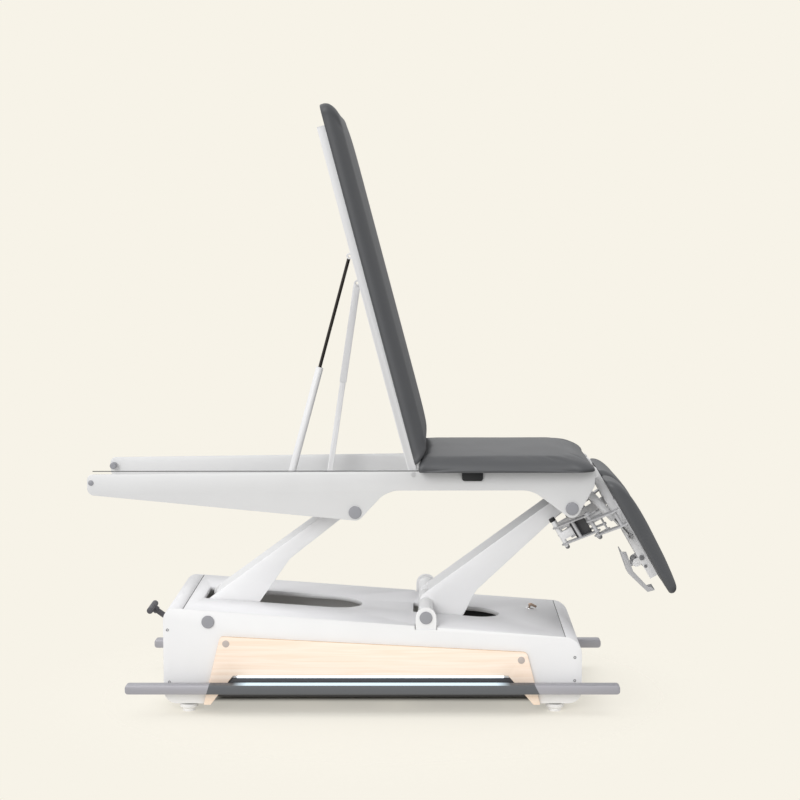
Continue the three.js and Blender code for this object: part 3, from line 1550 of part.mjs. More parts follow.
// Head section: in its own axes the rails run towards +X from the hinge, pads on top.
const headGroup = new THREE.Group();
headGroup.position.set(deck.headHingeX, 0, -deck.hingeDrop);
headGroup.rotation.y = headAngle;
deckGroup.add(headGroup);
const head = {
  railOuter: 123,
  railLength: 366,
  barHalf: 15,
  barWall: 6,
  barNear: 36,
  barFar: 322,
  padHalf: 126,
  padStart: 7,
  padEnd: 400,
  thickness: 49,
  crown: 15,
  roundStart: 60,
  roundEnd: 92,
  cornerStart: 22,
  cornerEnd: 60,
  springBoss: 8,
};

// Armrests: each pad's bracket swings on a link, and a tie rod keeps it level.
const rest = {
  padGap: 10,
  padStart: 20,
  padEnd: 403,
  linkY: 92,
  linkDrop: 177,
  armY: 178,
  armDrop: 79,
  pinRadius: 7,
  linkPin: 6,
  linkHead: 9,
  headDepth: 6,
  wall: 4,
  linkNear: 96,
  linkFar: 152,
  bracketNear: 114,
  bracketFar: 162,
  pinStart: 78,
  pinEnd: 164,
  webNear: 118,
  webFar: 142,
  webHalf: 8,
  tieRise: 30,
  tiePin: 3,
  tieEye: 6.5,
  tieWall: 6,
  tieRadius: 3,
  spineStart: 84,
  spineEnd: 272,
  spineInner: 232,
  spineOuter: 268,
  spineWall: 3.7,
  spineY: 250,
  linkHalf: 12,
  bracketHalf: 13,
  bracketTop: 20,
  tieArmHalf: 9,
  spacerRadius: 5,
};
rest.inner = head.padHalf + rest.padGap;

const grip = {
  pivotU: 320,
  pivotN: -24,
  pinRadius: 5,
  hubRadius: 9,
  hubHalf: 36,
  earWall: 6,
  earHalf: 12,
  halfWidth: 46,
  wall: 3,
};

function headFrame() {
  const parts = [];
  for (const { sign } of sides) {
    const [yMin, yMax] = span(sign, head.railOuter - railSection, head.railOuter);
    parts.push(boxRail(0, head.railLength, yMin, yMax, back.railWall));
    parts.push(rodY(hinge.earRadius, yMin, yMax, 0, 0));
    const [webMin, webMax] = span(sign, rest.linkY - rest.webHalf, rest.linkY + rest.webHalf);
    parts.push(block(rest.webNear, rest.webFar, webMin, webMax, -rest.linkDrop, -railHalf + weld));
    const [topMin, topMax] = span(sign, rest.linkY - rest.webHalf, head.railOuter - railSection / 2);
    parts.push(block(rest.webNear, rest.webFar, topMin, topMax, -railHalf - rest.webHalf, -railHalf + weld));
    parts.push(rodX(rest.pinRadius, rest.pinStart, rest.pinEnd, sign * rest.linkY, -rest.linkDrop));
    const tieZ = -rest.linkDrop + rest.tieRise;
    const tieEnd = rest.webFar + running + rest.tieWall;
    parts.push(rodX(rest.tiePin, rest.webFar - weld, tieEnd, sign * rest.linkY, tieZ, tubeSides));
    const earStart = grip.hubHalf + running;
    const [earMin, earMax] = span(sign, earStart, earStart + grip.earWall);
    const ear = outline([
      [grip.pivotU - grip.earHalf, grip.pivotN - grip.earHalf, grip.earHalf - touch],
      [grip.pivotU + grip.earHalf, grip.pivotN - grip.earHalf, grip.earHalf - touch],
      [grip.pivotU + grip.earHalf, railHalf - weld],
      [grip.pivotU - grip.earHalf, railHalf - weld],
    ]);
    parts.push(plateY(ear, earMin, earMax));
  }
  const inner = head.railOuter - railSection + back.railWall / 2;
  for (const u of [head.barNear, head.barFar]) {
    parts.push(block(u - head.barHalf, u + head.barHalf, -inner, inner, railHalf - head.barWall, railHalf));
  }
  const pinHalf = grip.hubHalf + running + grip.earWall;
  parts.push(rodY(grip.pinRadius, -pinHalf, pinHalf, grip.pivotU, grip.pivotN, tubeSides));
  const bossEnd = headSpring.y + headSpring.eyeHalf + running;
  const bossStart = -head.railOuter + back.railWall / 2;
  parts.push(rodY(head.springBoss, bossEnd, bossStart, headSpring.eyeU, headSpring.eyeN, tubeSides));
  const wide = head.railOuter + overrun;
  return cut(join(...parts), rodY(hinge.headShaftRadius + running, -wide, wide, 0, 0, tubeSides));
}

piece('head_frame', headFrame(), 'whiteSteel', headGroup);
const headForm = cushion({
  xMin: head.padStart,
  xMax: head.padEnd,
  yMin: -head.padHalf,
  yMax: head.padHalf,
  thickness: head.thickness,
  crown: head.crown,
  endMin: head.roundStart,
  endMax: head.roundEnd,
  cornerMin: head.cornerStart,
  cornerMax: head.cornerEnd,
});
piece('head_pad', headForm, 'upholstery', headGroup).position.set(0, 0, padRest + touch);

// Release handle: a bent strap that pivots under the head frame's far cross bar.
const strap = {
  tipU: 267,
  tipN: -47,
  lowU: 336,
  lowN: -59.5,
  bendU: 412,
  bendN: -37.6,
  endU: 417,
  endN: -17.5,
};

function releaseHandle() {
  const bends = [
    new THREE.Vector2(strap.tipU, strap.tipN),
    new THREE.Vector2(strap.lowU, strap.lowN),
    new THREE.Vector2(strap.bendU, strap.bendN),
    new THREE.Vector2(strap.endU, strap.endN),
  ];
  const parts = [];
  for (let i = 0; i + 1 < bends.length; i += 1) {
    const run = bends[i + 1].clone().sub(bends[i]);
    const sheet = new THREE.BoxGeometry(run.length() + grip.wall / 2, 2 * grip.halfWidth, grip.wall);
    const middle = bends[i].clone().addScaledVector(run, 1 / 2);
    parts.push(sheet.rotateY(-run.angle()).translate(middle.x, 0, middle.y));
  }
  const hub = rodY(grip.hubRadius, -grip.hubHalf, grip.hubHalf, grip.pivotU, grip.pivotN);
  const web = block(grip.pivotU - grip.wall, grip.pivotU + grip.wall, -grip.hubHalf, grip.hubHalf,
    strap.lowN + grip.wall, grip.pivotN);
  const bore = rodY(grip.pinRadius + running, -grip.halfWidth, grip.halfWidth, grip.pivotU, grip.pivotN,
    tubeSides);
  return cut(join(...parts, hub, web), bore);
}

piece('release_handle', releaseHandle(), 'zinc', headGroup);

// Head gas spring between the deck and the head frame.
const headEye = {
  x: deck.headHingeX + headSpring.eyeU * Math.cos(headAngle) + headSpring.eyeN * Math.sin(headAngle),
  z: -deck.hingeDrop - headSpring.eyeU * Math.sin(headAngle) + headSpring.eyeN * Math.cos(headAngle),
};
const headRun = { x: headEye.x - headSpring.anchorX, z: headEye.z - headSpring.anchorZ };
const headSpringGroup = new THREE.Group();
headSpringGroup.position.set(headSpring.anchorX, headSpring.y, headSpring.anchorZ);
headSpringGroup.rotation.y = -Math.atan2(headRun.z, headRun.x);
deckGroup.add(headSpringGroup);
piece('head_spring_tube', springTube(headSpring), 'whiteSteel', headSpringGroup);
const headRod = springRod(headSpring, headSpring.rodStart, Math.hypot(headRun.x, headRun.z));
piece('head_spring_rod', headRod, 'zinc', headSpringGroup);

// A flat bar between two round ends, in Y and Z, pushed along X.
function linkPlate(from, to, half, xMin, xMax) {
  const run = new THREE.Vector2(to.y - from.y, to.z - from.z);
  const length = run.length();
  const shape = outline([
    [-half, -half, half - touch],
    [length + half, -half, half - touch],
    [length + half, half, half - touch],
    [-half, half, half - touch],
  ]);
  const plateGeometry = plateX(shape, xMin, xMax);
  return plateGeometry.rotateX(run.angle()).translate(0, from.y, from.z);
}

for (const { name, sign } of sides) {
  const low = { y: sign * rest.linkY, z: -rest.linkDrop };
  const high = { y: sign * rest.armY, z: -rest.armDrop };
  const middle = { y: (low.y + high.y) / 2, z: (low.z + high.z) / 2 };
  const link = join(
    linkPlate(low, high, rest.linkHalf, rest.linkNear, rest.linkNear + rest.wall),
    linkPlate(low, high, rest.linkHalf, rest.linkFar, rest.linkFar + rest.wall),
    rodX(rest.linkPin, rest.linkNear, rest.bracketFar + 2 * rest.wall, high.y, high.z),
    rodX(rest.linkHead, rest.linkNear - rest.headDepth, rest.linkNear + weld, high.y, high.z, tubeSides),
    rodX(rest.linkHead, rest.bracketFar + rest.wall + running, rest.bracketFar + rest.wall + rest.headDepth,
      high.y, high.z, rest.headDepth),
    rodX(rest.spacerRadius, rest.linkNear, rest.linkFar + rest.wall, middle.y, middle.z, tubeSides),
  );
  const linkBore = rodX(rest.pinRadius + running, rest.linkNear - overrun, rest.linkFar + 2 * overrun,
    low.y, low.z);
  piece(`armrest_link_${name}`, cut(link, linkBore), 'zinc', headGroup);

  const tieLow = { y: low.y, z: low.z + rest.tieRise };
  const tieHigh = { y: high.y, z: high.z + rest.tieRise };
  const tieX = rest.webFar + running;
  const tie = join(
    linkPlate(tieLow, tieHigh, rest.tieRadius, tieX, tieX + rest.tieWall),
    rodX(rest.tieEye, tieX, tieX + rest.tieWall, tieLow.y, tieLow.z, tubeSides),
    rodX(rest.tieEye, tieX, tieX + rest.tieWall, tieHigh.y, tieHigh.z, tubeSides),
  );
  const tieBore = rest.tiePin + running;
  const tieTools = [tieLow, tieHigh].map((place) =>
    rodX(tieBore, tieX - overrun, tieX + rest.tieWall + overrun, place.y, place.z, tubeSides),
  );
  piece(`armrest_tie_${name}`, cut(tie, ...tieTools), 'zinc', headGroup);

  const spineTop = padRest - touch;
  const [spineMin, spineMax] = span(sign, rest.spineInner, rest.spineOuter);
  const root = { y: sign * rest.spineY, z: spineTop - rest.bracketTop };
  const bracketParts = [
    block(rest.spineStart, rest.spineEnd, spineMin, spineMax, spineTop - rest.spineWall, spineTop),
    rodX(rest.tiePin, rest.bracketNear, rest.bracketFar + rest.wall, tieHigh.y, tieHigh.z, tubeSides),
    rodX(rest.spacerRadius, rest.bracketNear, rest.bracketFar + rest.wall, root.y, root.z, tubeSides),
  ];
  for (const start of [rest.bracketNear, rest.bracketFar]) {
    bracketParts.push(linkPlate(high, root, rest.bracketHalf, start, start + rest.wall));
    bracketParts.push(linkPlate(high, tieHigh, rest.tieArmHalf, start, start + rest.wall));
    bracketParts.push(block(start, start + rest.wall, root.y - rest.bracketHalf + touch,
      root.y + rest.bracketHalf - touch, root.z, spineTop - rest.spineWall + weld));
  }
  const bracketBore = rodX(rest.linkPin + running, rest.bracketNear - overrun, rest.bracketFar + 2 * overrun,
    high.y, high.z);
  piece(`armrest_bracket_${name}`, cut(join(...bracketParts), bracketBore), 'zinc', headGroup);

  const [padMin, padMax] = span(sign, rest.inner, pad.halfWidth);
  const restForm = cushion({
    xMin: rest.padStart,
    xMax: rest.padEnd,
    yMin: padMin,
    yMax: padMax,
    thickness: head.thickness,
    crown: head.crown,
    endMin: head.roundStart,
    endMax: head.roundEnd,
    cornerMin: head.cornerStart,
    cornerMax: head.cornerEnd,
  });
  piece(`armrest_pad_${name}`, restForm, 'upholstery', headGroup).position.set(0, 0, padRest + touch);
}

// The origin is on the floor, under the middle of the whole table.
const extent = new THREE.Box3().setFromObject(table, true);
table.position.set(-(extent.min.x + extent.max.x) / 2, -(extent.min.y + extent.max.y) / 2, -extent.min.z);

export default table;
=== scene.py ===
"""Height-adjustable treatment table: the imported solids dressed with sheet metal, pads and fittings.

Lengths in this file are millimetres round the middle of the base, and metres once a piece is
placed. X runs from the backrest's end to the head section, Y away from the camera, Z up.
"""

import json
import math

import bmesh
import bpy
from mathutils import Matrix, Vector


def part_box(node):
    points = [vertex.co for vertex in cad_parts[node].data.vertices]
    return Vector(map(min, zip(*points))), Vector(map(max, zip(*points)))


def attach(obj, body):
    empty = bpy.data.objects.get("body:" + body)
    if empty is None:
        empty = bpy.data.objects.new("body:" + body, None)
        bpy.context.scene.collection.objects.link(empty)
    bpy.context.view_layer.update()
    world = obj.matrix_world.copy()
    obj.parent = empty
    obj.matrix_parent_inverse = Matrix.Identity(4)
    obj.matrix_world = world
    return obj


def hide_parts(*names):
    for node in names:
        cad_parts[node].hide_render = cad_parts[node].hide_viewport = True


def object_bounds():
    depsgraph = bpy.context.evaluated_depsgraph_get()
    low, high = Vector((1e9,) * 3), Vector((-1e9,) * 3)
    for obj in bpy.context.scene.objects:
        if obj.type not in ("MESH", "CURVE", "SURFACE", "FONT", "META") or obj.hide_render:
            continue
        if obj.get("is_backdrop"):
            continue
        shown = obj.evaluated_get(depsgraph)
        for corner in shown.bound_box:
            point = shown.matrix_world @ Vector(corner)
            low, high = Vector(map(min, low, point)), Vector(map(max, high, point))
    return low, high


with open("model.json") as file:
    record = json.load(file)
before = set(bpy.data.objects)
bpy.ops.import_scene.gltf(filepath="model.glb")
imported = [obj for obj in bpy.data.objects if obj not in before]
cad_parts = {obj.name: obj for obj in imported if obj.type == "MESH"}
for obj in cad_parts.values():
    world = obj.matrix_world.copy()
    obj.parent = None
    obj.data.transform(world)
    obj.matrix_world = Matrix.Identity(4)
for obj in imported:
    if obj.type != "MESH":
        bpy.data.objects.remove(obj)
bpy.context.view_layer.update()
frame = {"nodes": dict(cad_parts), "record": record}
nodes = frame["nodes"]
scene = bpy.context.scene

# Camera: a long lens a little above the deck, level with the middle of the backrest. The focal
# length and the aim are pixels of a picture PICTURE wide, the place is millimetres.
scene.view_settings.view_transform = "Standard"
MM = 0.001
SENSOR = 36
PICTURE = 800
FOCAL = 2020
CAMERA_PLACE = Vector((153, -6040, 1408))
CAMERA_AIM = (25, 175)
CAMERA_ROLL = -0.0028
base_low, base_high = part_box("base_frame")
BASE_MIDDLE = (base_low.x + base_high.x) / 2


def at(*place):
    """Moves to a place, given as a vector or as three numbers."""
    return Matrix.Translation(place[0] if len(place) == 1 else place)


def about(axis, angle):
    """Turns about an axis."""
    return Matrix.Rotation(angle, 4, axis)


def linked(name, data):
    """A new object in the scene."""
    made = bpy.data.objects.new(name, data)
    scene.collection.objects.link(made)
    return made


lens = bpy.data.cameras.new("camera")
lens.sensor_width = SENSOR
lens.lens = SENSOR * FOCAL / PICTURE
camera = linked("camera", lens)
camera.matrix_world = (
    at(CAMERA_PLACE * MM + Vector((BASE_MIDDLE, 0, 0)))
    @ about("Z", math.atan(CAMERA_AIM[0] / FOCAL))
    @ about("X", math.pi / 2 - math.atan(CAMERA_AIM[1] / FOCAL))
    @ about("Z", CAMERA_ROLL)
)
scene.camera = camera

# Studio light: a soft sky all round and one broad lamp from the upper left of the camera. The
# camera sees the cream of the studio's backdrop; reflections see a sky that is brighter above.
CREAM = (0.93, 0.896, 0.807, 1)
SKY_LEFT = 0.66
SKY_RIGHT = 0.55
SKY_OVERHEAD = 0.55
LAMP_STRENGTH = 1.02
LAMP_TOWARDS = Vector((0.3, 0.85, -0.36))
LAMP_SPREAD = 24
MIRRORED_LEFT = 0.7
MIRRORED_RIGHT = 0.15
MIRRORED_ABOVE = 0.62
MIRRORED_REACH = 0.6
MIRRORED_HORIZON = (-0.1, 0.35)


def new_node(tree, kind, settings=None, **inputs):
    """Adds a shader node with its settings. An input is a value or a socket to link."""
    node = tree.nodes.new("ShaderNode" + kind)
    for name, value in (settings or {}).items():
        setattr(node, name, value)
    for name, value in inputs.items():
        socket = node.inputs[int(name[1:])] if name[0] == "_" else node.inputs[name.replace("_", " ")]
        if isinstance(value, bpy.types.NodeSocket):
            tree.links.new(value, socket)
        else:
            socket.default_value = value
    return node


def ranged(tree, value, low, high, to_low=0.0, to_high=1.0):
    """A value carried over from one range to another."""
    ends = {"From_Min": low, "From_Max": high, "To_Min": to_low, "To_Max": to_high}
    return new_node(tree, "MapRange", Value=value, **ends).outputs[0]


def maths(tree, operation, *values, kind="Math"):
    """The result of a sum on numbers or on vectors."""
    sockets = {f"_{n}": value for n, value in enumerate(values)}
    return new_node(tree, kind, {"operation": operation}, **sockets).outputs[0]


def shader_mix(tree, share, first, second):
    """Two shaders mixed."""
    return new_node(tree, "MixShader", _0=share, _1=first, _2=second).outputs[0]


def sky_gradient(tree, axes, left, right, overhead, reach=1.0, climb=(0.0, 1.0)):
    """A level that falls from the left to the right, with more from overhead."""
    sides = ranged(tree, axes["X"], -reach, reach, left, right)
    above = ranged(tree, axes["Z"], *climb, 0.0, overhead)
    level = maths(tree, "ADD", sides, above)
    return new_node(tree, "Background", Color=(1, 1, 1, 1), Strength=level).outputs[0]


world = bpy.data.worlds.new("studio")
scene.world = world
world.use_nodes = True
sky = world.node_tree
sky.nodes.clear()
sky_direction = new_node(sky, "TexCoord").outputs["Generated"]
sky_axes = new_node(sky, "SeparateXYZ", Vector=sky_direction).outputs
sky_light = sky_gradient(sky, sky_axes, SKY_LEFT, SKY_RIGHT, SKY_OVERHEAD)
mirrored = sky_gradient(
    sky, sky_axes, MIRRORED_LEFT, MIRRORED_RIGHT, MIRRORED_ABOVE, MIRRORED_REACH, MIRRORED_HORIZON
)
backdrop = new_node(sky, "Background", Color=CREAM, Strength=1.0).outputs[0]
rays = new_node(sky, "LightPath").outputs
clear_view = maths(sky, "MAXIMUM", rays["Is Camera Ray"], rays["Is Transmission Ray"])
lit_or_mirrored = shader_mix(sky, rays["Is Glossy Ray"], sky_light, mirrored)
new_node(sky, "OutputWorld", Surface=shader_mix(sky, clear_view, lit_or_mirrored, backdrop))

lamp_data = bpy.data.lights.new("lamp", "SUN")
lamp_data.energy = LAMP_STRENGTH
lamp_data.angle = math.radians(LAMP_SPREAD)
lamp = linked("lamp", lamp_data)
lamp.rotation_mode = "QUATERNION"
lamp.rotation_quaternion = LAMP_TOWARDS.to_track_quat("-Z", "Y")

# Floor: a pale round sheet that fades into the backdrop. A cream glow, painted light that lifts
# its shadows, is mixed in and falls away under the base, where the colour is also darkened as
# painted shade. Both follow how far a point lies outside the base, in metres.
FLOOR_RADIUS = 1.7
FLOOR_FADE = (0.6, 1.15)
FLOOR_COLOUR = (0.97, 0.935, 0.842, 1)
FLOOR_PAINTED_LIGHT = ((-0.19, 0.0), (-0.13, 0.42), (-0.03, 0.42), (0.1, 0.75))
FLOOR_PAINTED_SHADE = ((-0.19, 0.2), (-0.13, 1.0))
CLEARANCE_REACH = 0.3
BASE_FOOTPRINT = (0.64, 0.29, 0)


def mesh_of(bm, name):
    """The finished mesh."""
    mesh = bpy.data.meshes.new(name)
    bm.to_mesh(mesh)
    bm.free()
    return mesh


def ramped(tree, value, stops, interpolation="LINEAR"):
    """A colour that follows a value, from (position, colour) to (position, colour)."""
    node = new_node(tree, "ValToRGB", Fac=value)
    node.color_ramp.interpolation = interpolation
    points = node.color_ramp.elements
    while len(points) < len(stops):
        points.new(0.5)
    for point, (position, colour) in zip(points, stops):
        point.position = position
        point.color = (*colour, 1)
    return node.outputs[0]


def by_clearance(steps):
    """A level that follows the clearance outside the base, which is negative inside."""
    share = ranged(ground, ground_clearance, -CLEARANCE_REACH, CLEARANCE_REACH)
    stops = [((edge + CLEARANCE_REACH) / (2 * CLEARANCE_REACH), (level,) * 3) for edge, level in steps]
    return ramped(ground, share, stops, "EASE")


floor_mesh = bmesh.new()
bmesh.ops.create_circle(floor_mesh, cap_ends=True, segments=64, radius=FLOOR_RADIUS)
floor = linked("floor", mesh_of(floor_mesh, "floor"))
floor_finish = bpy.data.materials.new("studio_floor")
floor_finish.use_nodes = True
ground = floor_finish.node_tree
ground.nodes.clear()
ground_place = new_node(ground, "TexCoord").outputs["Object"]
ground_reach = new_node(ground, "VectorMath", {"operation": "LENGTH"}, _0=ground_place).outputs["Value"]
ground_fade = ranged(ground, ground_reach, *FLOOR_FADE)
ground_fade.node.interpolation_type = "SMOOTHSTEP"
ground_centred = maths(ground, "SUBTRACT", ground_place, (BASE_MIDDLE, 0, 0), kind="VectorMath")
ground_folded = maths(ground, "ABSOLUTE", ground_centred, kind="VectorMath")
ground_past = maths(ground, "SUBTRACT", ground_folded, BASE_FOOTPRINT, kind="VectorMath")
ground_sides = new_node(ground, "SeparateXYZ", Vector=ground_past).outputs
ground_clearance = maths(ground, "MAXIMUM", ground_sides["X"], ground_sides["Y"])
shaded = {"data_type": "RGBA", "blend_type": "MULTIPLY"}
# Painted shade: the floor's colour is darkened under the base.
ground_painted_shade = new_node(ground, "Mix", shaded, _0=1.0, _6=FLOOR_COLOUR, _7=by_clearance(FLOOR_PAINTED_SHADE))
ground_matt = new_node(ground, "BsdfDiffuse", Color=ground_painted_shade.outputs[2]).outputs[0]
# Painted light: a cream glow that lifts the floor's shadows and falls away under the base.
ground_painted_light = new_node(ground, "Emission", Color=CREAM, Strength=1.0).outputs[0]
ground_sheet = shader_mix(ground, by_clearance(FLOOR_PAINTED_LIGHT), ground_matt, ground_painted_light)
ground_clear = new_node(ground, "BsdfTransparent").outputs[0]
new_node(ground, "OutputMaterial", Surface=shader_mix(ground, ground_fade, ground_sheet, ground_clear))
floor.data.materials.append(floor_finish)
floor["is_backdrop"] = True


# Base frame: welded box rails, cross plates and uprights in white powder coat, with its lift
# motor and castors; its lower outer rails are painted black as painted shade where they show
# through the panels' arches. It is hidden under the covers, so the solids stay and take their finish.
FINISH_RELIEF = 0.0002
GLOSS_SPREAD = 0.12


def surface(
    name, colour, roughness, metallic=0.0, stretch=(1, 1, 1), shade=0.03, mottle=9, grain=900, bump=0.12
):
    """A finish whose colour, gloss and relief vary with position on the piece."""
    finish = bpy.data.materials.new(name)
    finish.use_nodes = True
    tree = finish.node_tree
    shader = tree.nodes["Principled BSDF"]
    shader.inputs["Metallic"].default_value = metallic
    place = new_node(tree, "TexCoord").outputs["Object"]
    along = new_node(tree, "Mapping", Vector=place, Scale=stretch).outputs[0]
    cloud = new_node(tree, "TexNoise", Vector=along, Scale=mottle, Detail=4.0).outputs["Fac"]
    dark = (*(c * (1 - shade) for c in colour), 1)
    pale = (*(min(c * (1 + shade), 1) for c in colour), 1)
    tint = new_node(tree, "Mix", {"data_type": "RGBA"}, _0=cloud, _6=dark, _7=pale)
    tree.links.new(tint.outputs[2], shader.inputs["Base Color"])
    low, high = roughness * (1 - GLOSS_SPREAD), min(roughness * (1 + GLOSS_SPREAD), 1)
    tree.links.new(ranged(tree, cloud, 0, 1, low, high), shader.inputs["Roughness"])
    fine = new_node(tree, "TexNoise", Vector=along, Scale=grain, Detail=3.0).outputs["Fac"]
    relief = new_node(tree, "Bump", Strength=bump, Distance=FINISH_RELIEF, Height=fine)
    tree.links.new(relief.outputs[0], shader.inputs["Normal"])
    return finish


white_coat = surface("white_powder_coat", (0.84, 0.838, 0.842), 0.42, bump=0.2)
dark_moulding = surface("dark_moulding", (0.018, 0.019, 0.02), 0.5, shade=0.1)
zinc_plate = surface("zinc_plate", (0.56, 0.56, 0.55), 0.34, metallic=0.85, mottle=40, shade=0.06)
rubber_grey = surface("castor_rubber", (0.075, 0.075, 0.08), 0.62, shade=0.08)
# A black coat that is painted shade: it darkens the lower frame rails and the armrests' link webs, where
# shade falls.
shade_coat_black = surface("black_painted_shade", (0.05, 0.05, 0.052), 0.5, bump=0.2)
FRAME_RAIL_TOP = 72
FRAME_RAIL_INNER = 234
hidden_finishes = {
    white_coat: ("base_frame",),
    zinc_plate: ("actuator_rod", "castor_frame"),
    dark_moulding: ("actuator_housing", "control_box"),
    rubber_grey: ("castor_wheelset_left", "castor_wheelset_right"),
}
for finish, names in hidden_finishes.items():
    for name in names:
        nodes[name].data.materials.clear()
        nodes[name].data.materials.append(finish)

# Painted shade: the lower outer frame rails, seen through the panels' arches, are made black.
frame_mesh = nodes["base_frame"].data
frame_mesh.materials.append(shade_coat_black)
for polygon in frame_mesh.polygons:
    if polygon.center.z < FRAME_RAIL_TOP * MM and abs(polygon.center.y) > FRAME_RAIL_INNER * MM:
        polygon.material_index = 1

# Side panels: white sheet steel, cut to the housing's outline with a notch for each bearing
# upright of the right arm and an arch between the feet, and eased along the rim.
BASE_HALF = 605
PANEL_OUTER = 290
PANEL_INNER = 286
FLOOR_GAP = 28
HIGH_SEAM = (-546, 305)
LOW_SEAM = (556, 223)
COVER_SLOPE = math.atan2(HIGH_SEAM[1] - LOW_SEAM[1], LOW_SEAM[0] - HIGH_SEAM[0])
UPRIGHT_HALF = 32.4
UPRIGHT_LOW = 244
LEFT_FOOT = Vector((-475, 0, 267.5))
RIGHT_FOOT = Vector((155, 0, 278))
SIDES = (("near", -1), ("far", 1))


def cover_height(x):
    """Height of the sloped cover's face at x."""
    return HIGH_SEAM[1] - (x - HIGH_SEAM[0]) * math.tan(COVER_SLOPE)


def ordered(sign, inner, outer):
    """The two Y values of a wall on one side of the table, lowest first."""
    return (-outer, -inner) if sign < 0 else (inner, outer)


def rounded(bm, geom, reach, steps, affect):
    """Rounds edges or corners with arcs that start that far off."""
    shape = {"offset_type": "OFFSET", "segments": steps, "profile": 0.5, "material": -1}
    held = affect == "EDGES"
    bmesh.ops.bevel(bm, geom=geom, offset=reach, affect=affect, clamp_overlap=held, **shape)


def round_corner(bm, vert, radius, steps):
    """Rounds one corner of a flat face with an arc of that radius."""
    first, second = (edge.other_vert(vert).co - vert.co for edge in vert.link_edges)
    rounded(bm, [vert], radius / math.tan(first.angle(second) / 2), steps, "VERTICES")


def ease(bm, edges, width):
    """Rounds edges a little, as a folded or deburred edge is."""
    rounded(bm, edges, width, 2, "EDGES")


def fresh(bm, before):
    """The vertices that were added since."""
    return [v for v in bm.verts if v not in before]


def cut_sheet(bm, corners, low, high, rim=0.8, steps=8):
    """Adds a sheet whose outline in X and Z has (x, z, radius) corners, from low to high in Y."""
    before = set(bm.verts)
    verts = [bm.verts.new((corner[0], low, corner[1])) for corner in corners]
    face = bm.faces.new(verts)
    for vert, corner in zip(verts, corners):
        if len(corner) > 2 and corner[2] > 0:
            round_corner(bm, vert, corner[2], steps)
    face = next(f for v in fresh(bm, before) for f in v.link_faces)
    grown = bmesh.ops.extrude_face_region(bm, geom=[face], use_keep_orig=True)["geom"]
    moved = [item for item in grown if isinstance(item, bmesh.types.BMVert)]
    bmesh.ops.translate(bm, vec=(0, high - low, 0), verts=moved)
    faces = list({f for v in fresh(bm, before) for f in v.link_faces})
    bmesh.ops.recalc_face_normals(bm, faces=faces)
    if rim:
        rims = [
            e
            for e in {e for f in faces for e in f.edges}
            if len(e.link_faces) == 2 and sum(abs(f.normal.y) > 0.9 for f in e.link_faces) == 1
        ]
        ease(bm, rims, rim)


def block(bm, low, high, edge=0.0):
    """Adds a rectangular bar between two corners, with its edges eased."""
    middle = (Vector(low) + Vector(high)) / 2
    size = Vector(high) - Vector(low)
    place = at(middle) @ Matrix.Diagonal((*size, 1))
    made = bmesh.ops.create_cube(bm, size=1, matrix=place)["verts"]
    if edge:
        ease(bm, list({e for v in made for e in v.link_edges}), edge)


def dressed(name, bm, finish, body, stands_for=None, crease=35):
    """Makes the mesh a piece and fixes it to the body that carries it."""
    mesh = mesh_of(bm, name)
    mesh.shade_smooth()
    mesh.set_sharp_from_angle(angle=math.radians(crease))
    piece = linked(name, mesh)
    mesh.materials.append(finish)
    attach(piece, body)
    if stands_for:
        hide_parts(stands_for)
    return piece


def add_piece(name, bm, finish, body, stands_for=None, place=None, crease=35):
    """Makes a mesh in millimetres a piece in the row frame."""
    if place is not None:
        bmesh.ops.transform(bm, matrix=place, verts=bm.verts)
    row = at(BASE_MIDDLE, 0, 0) @ Matrix.Diagonal((MM, MM, MM, 1))
    bmesh.ops.transform(bm, matrix=row, verts=bm.verts)
    return dressed(name, bm, finish, body, stands_for, crease)


ARCH_TOP = 58
notch_left, notch_right = RIGHT_FOOT.x - UPRIGHT_HALF, RIGHT_FOOT.x + UPRIGHT_HALF
panel_corners = [
    (-BASE_HALF, FLOOR_GAP, 38),
    (-469.5, FLOOR_GAP),
    (-446.3, ARCH_TOP, 4),
    (439.7, ARCH_TOP, 4),
    (465.3, FLOOR_GAP),
    (BASE_HALF, FLOOR_GAP, 38),
    (BASE_HALF, cover_height(BASE_HALF), 50),
    (notch_right, cover_height(notch_right)),
    (notch_right, UPRIGHT_LOW),
    (notch_left, UPRIGHT_LOW),
    (notch_left, cover_height(notch_left)),
    (-BASE_HALF, cover_height(-BASE_HALF), 34),
]
for side, sign in SIDES:
    sheet = bmesh.new()
    cut_sheet(sheet, panel_corners, *ordered(sign, PANEL_INNER, PANEL_OUTER), rim=1.4, steps=12)
    add_piece(f"panel_{side}", sheet, white_coat, "base", f"side_panel_{side}")

# Panel screws: small countersunk screws that hold each panel to the frame.
SCREW_PLACES = ((-592.3, 243.8), (-588.7, 91.1), (584.6, 162.9), (584.3, 95.2))


def turned(bm, profile, place, steps=40):
    """Adds a round part: a profile of (radius, height) points spun about Z, then placed."""
    before = set(bm.verts)
    verts = [bm.verts.new((radius, 0, height)) for radius, height in profile]
    edges = [bm.edges.new(pair) for pair in zip(verts, verts[1:])]
    turn = {"axis": (0, 0, 1), "cent": (0, 0, 0), "angle": 2 * math.pi, "use_merge": True}
    bmesh.ops.spin(bm, geom=verts + edges, steps=steps, **turn)
    bmesh.ops.remove_doubles(bm, verts=fresh(bm, before), dist=0.0005)
    made = fresh(bm, before)
    bmesh.ops.recalc_face_normals(bm, faces=list({f for v in made for f in v.link_faces}))
    bmesh.ops.transform(bm, matrix=place, verts=made)


def facing(sign, x, y, z):
    """Turns a round part's axis to point out of one side of the table, at that place."""
    return at(x, y, z) @ about("X", -sign * math.pi / 2)


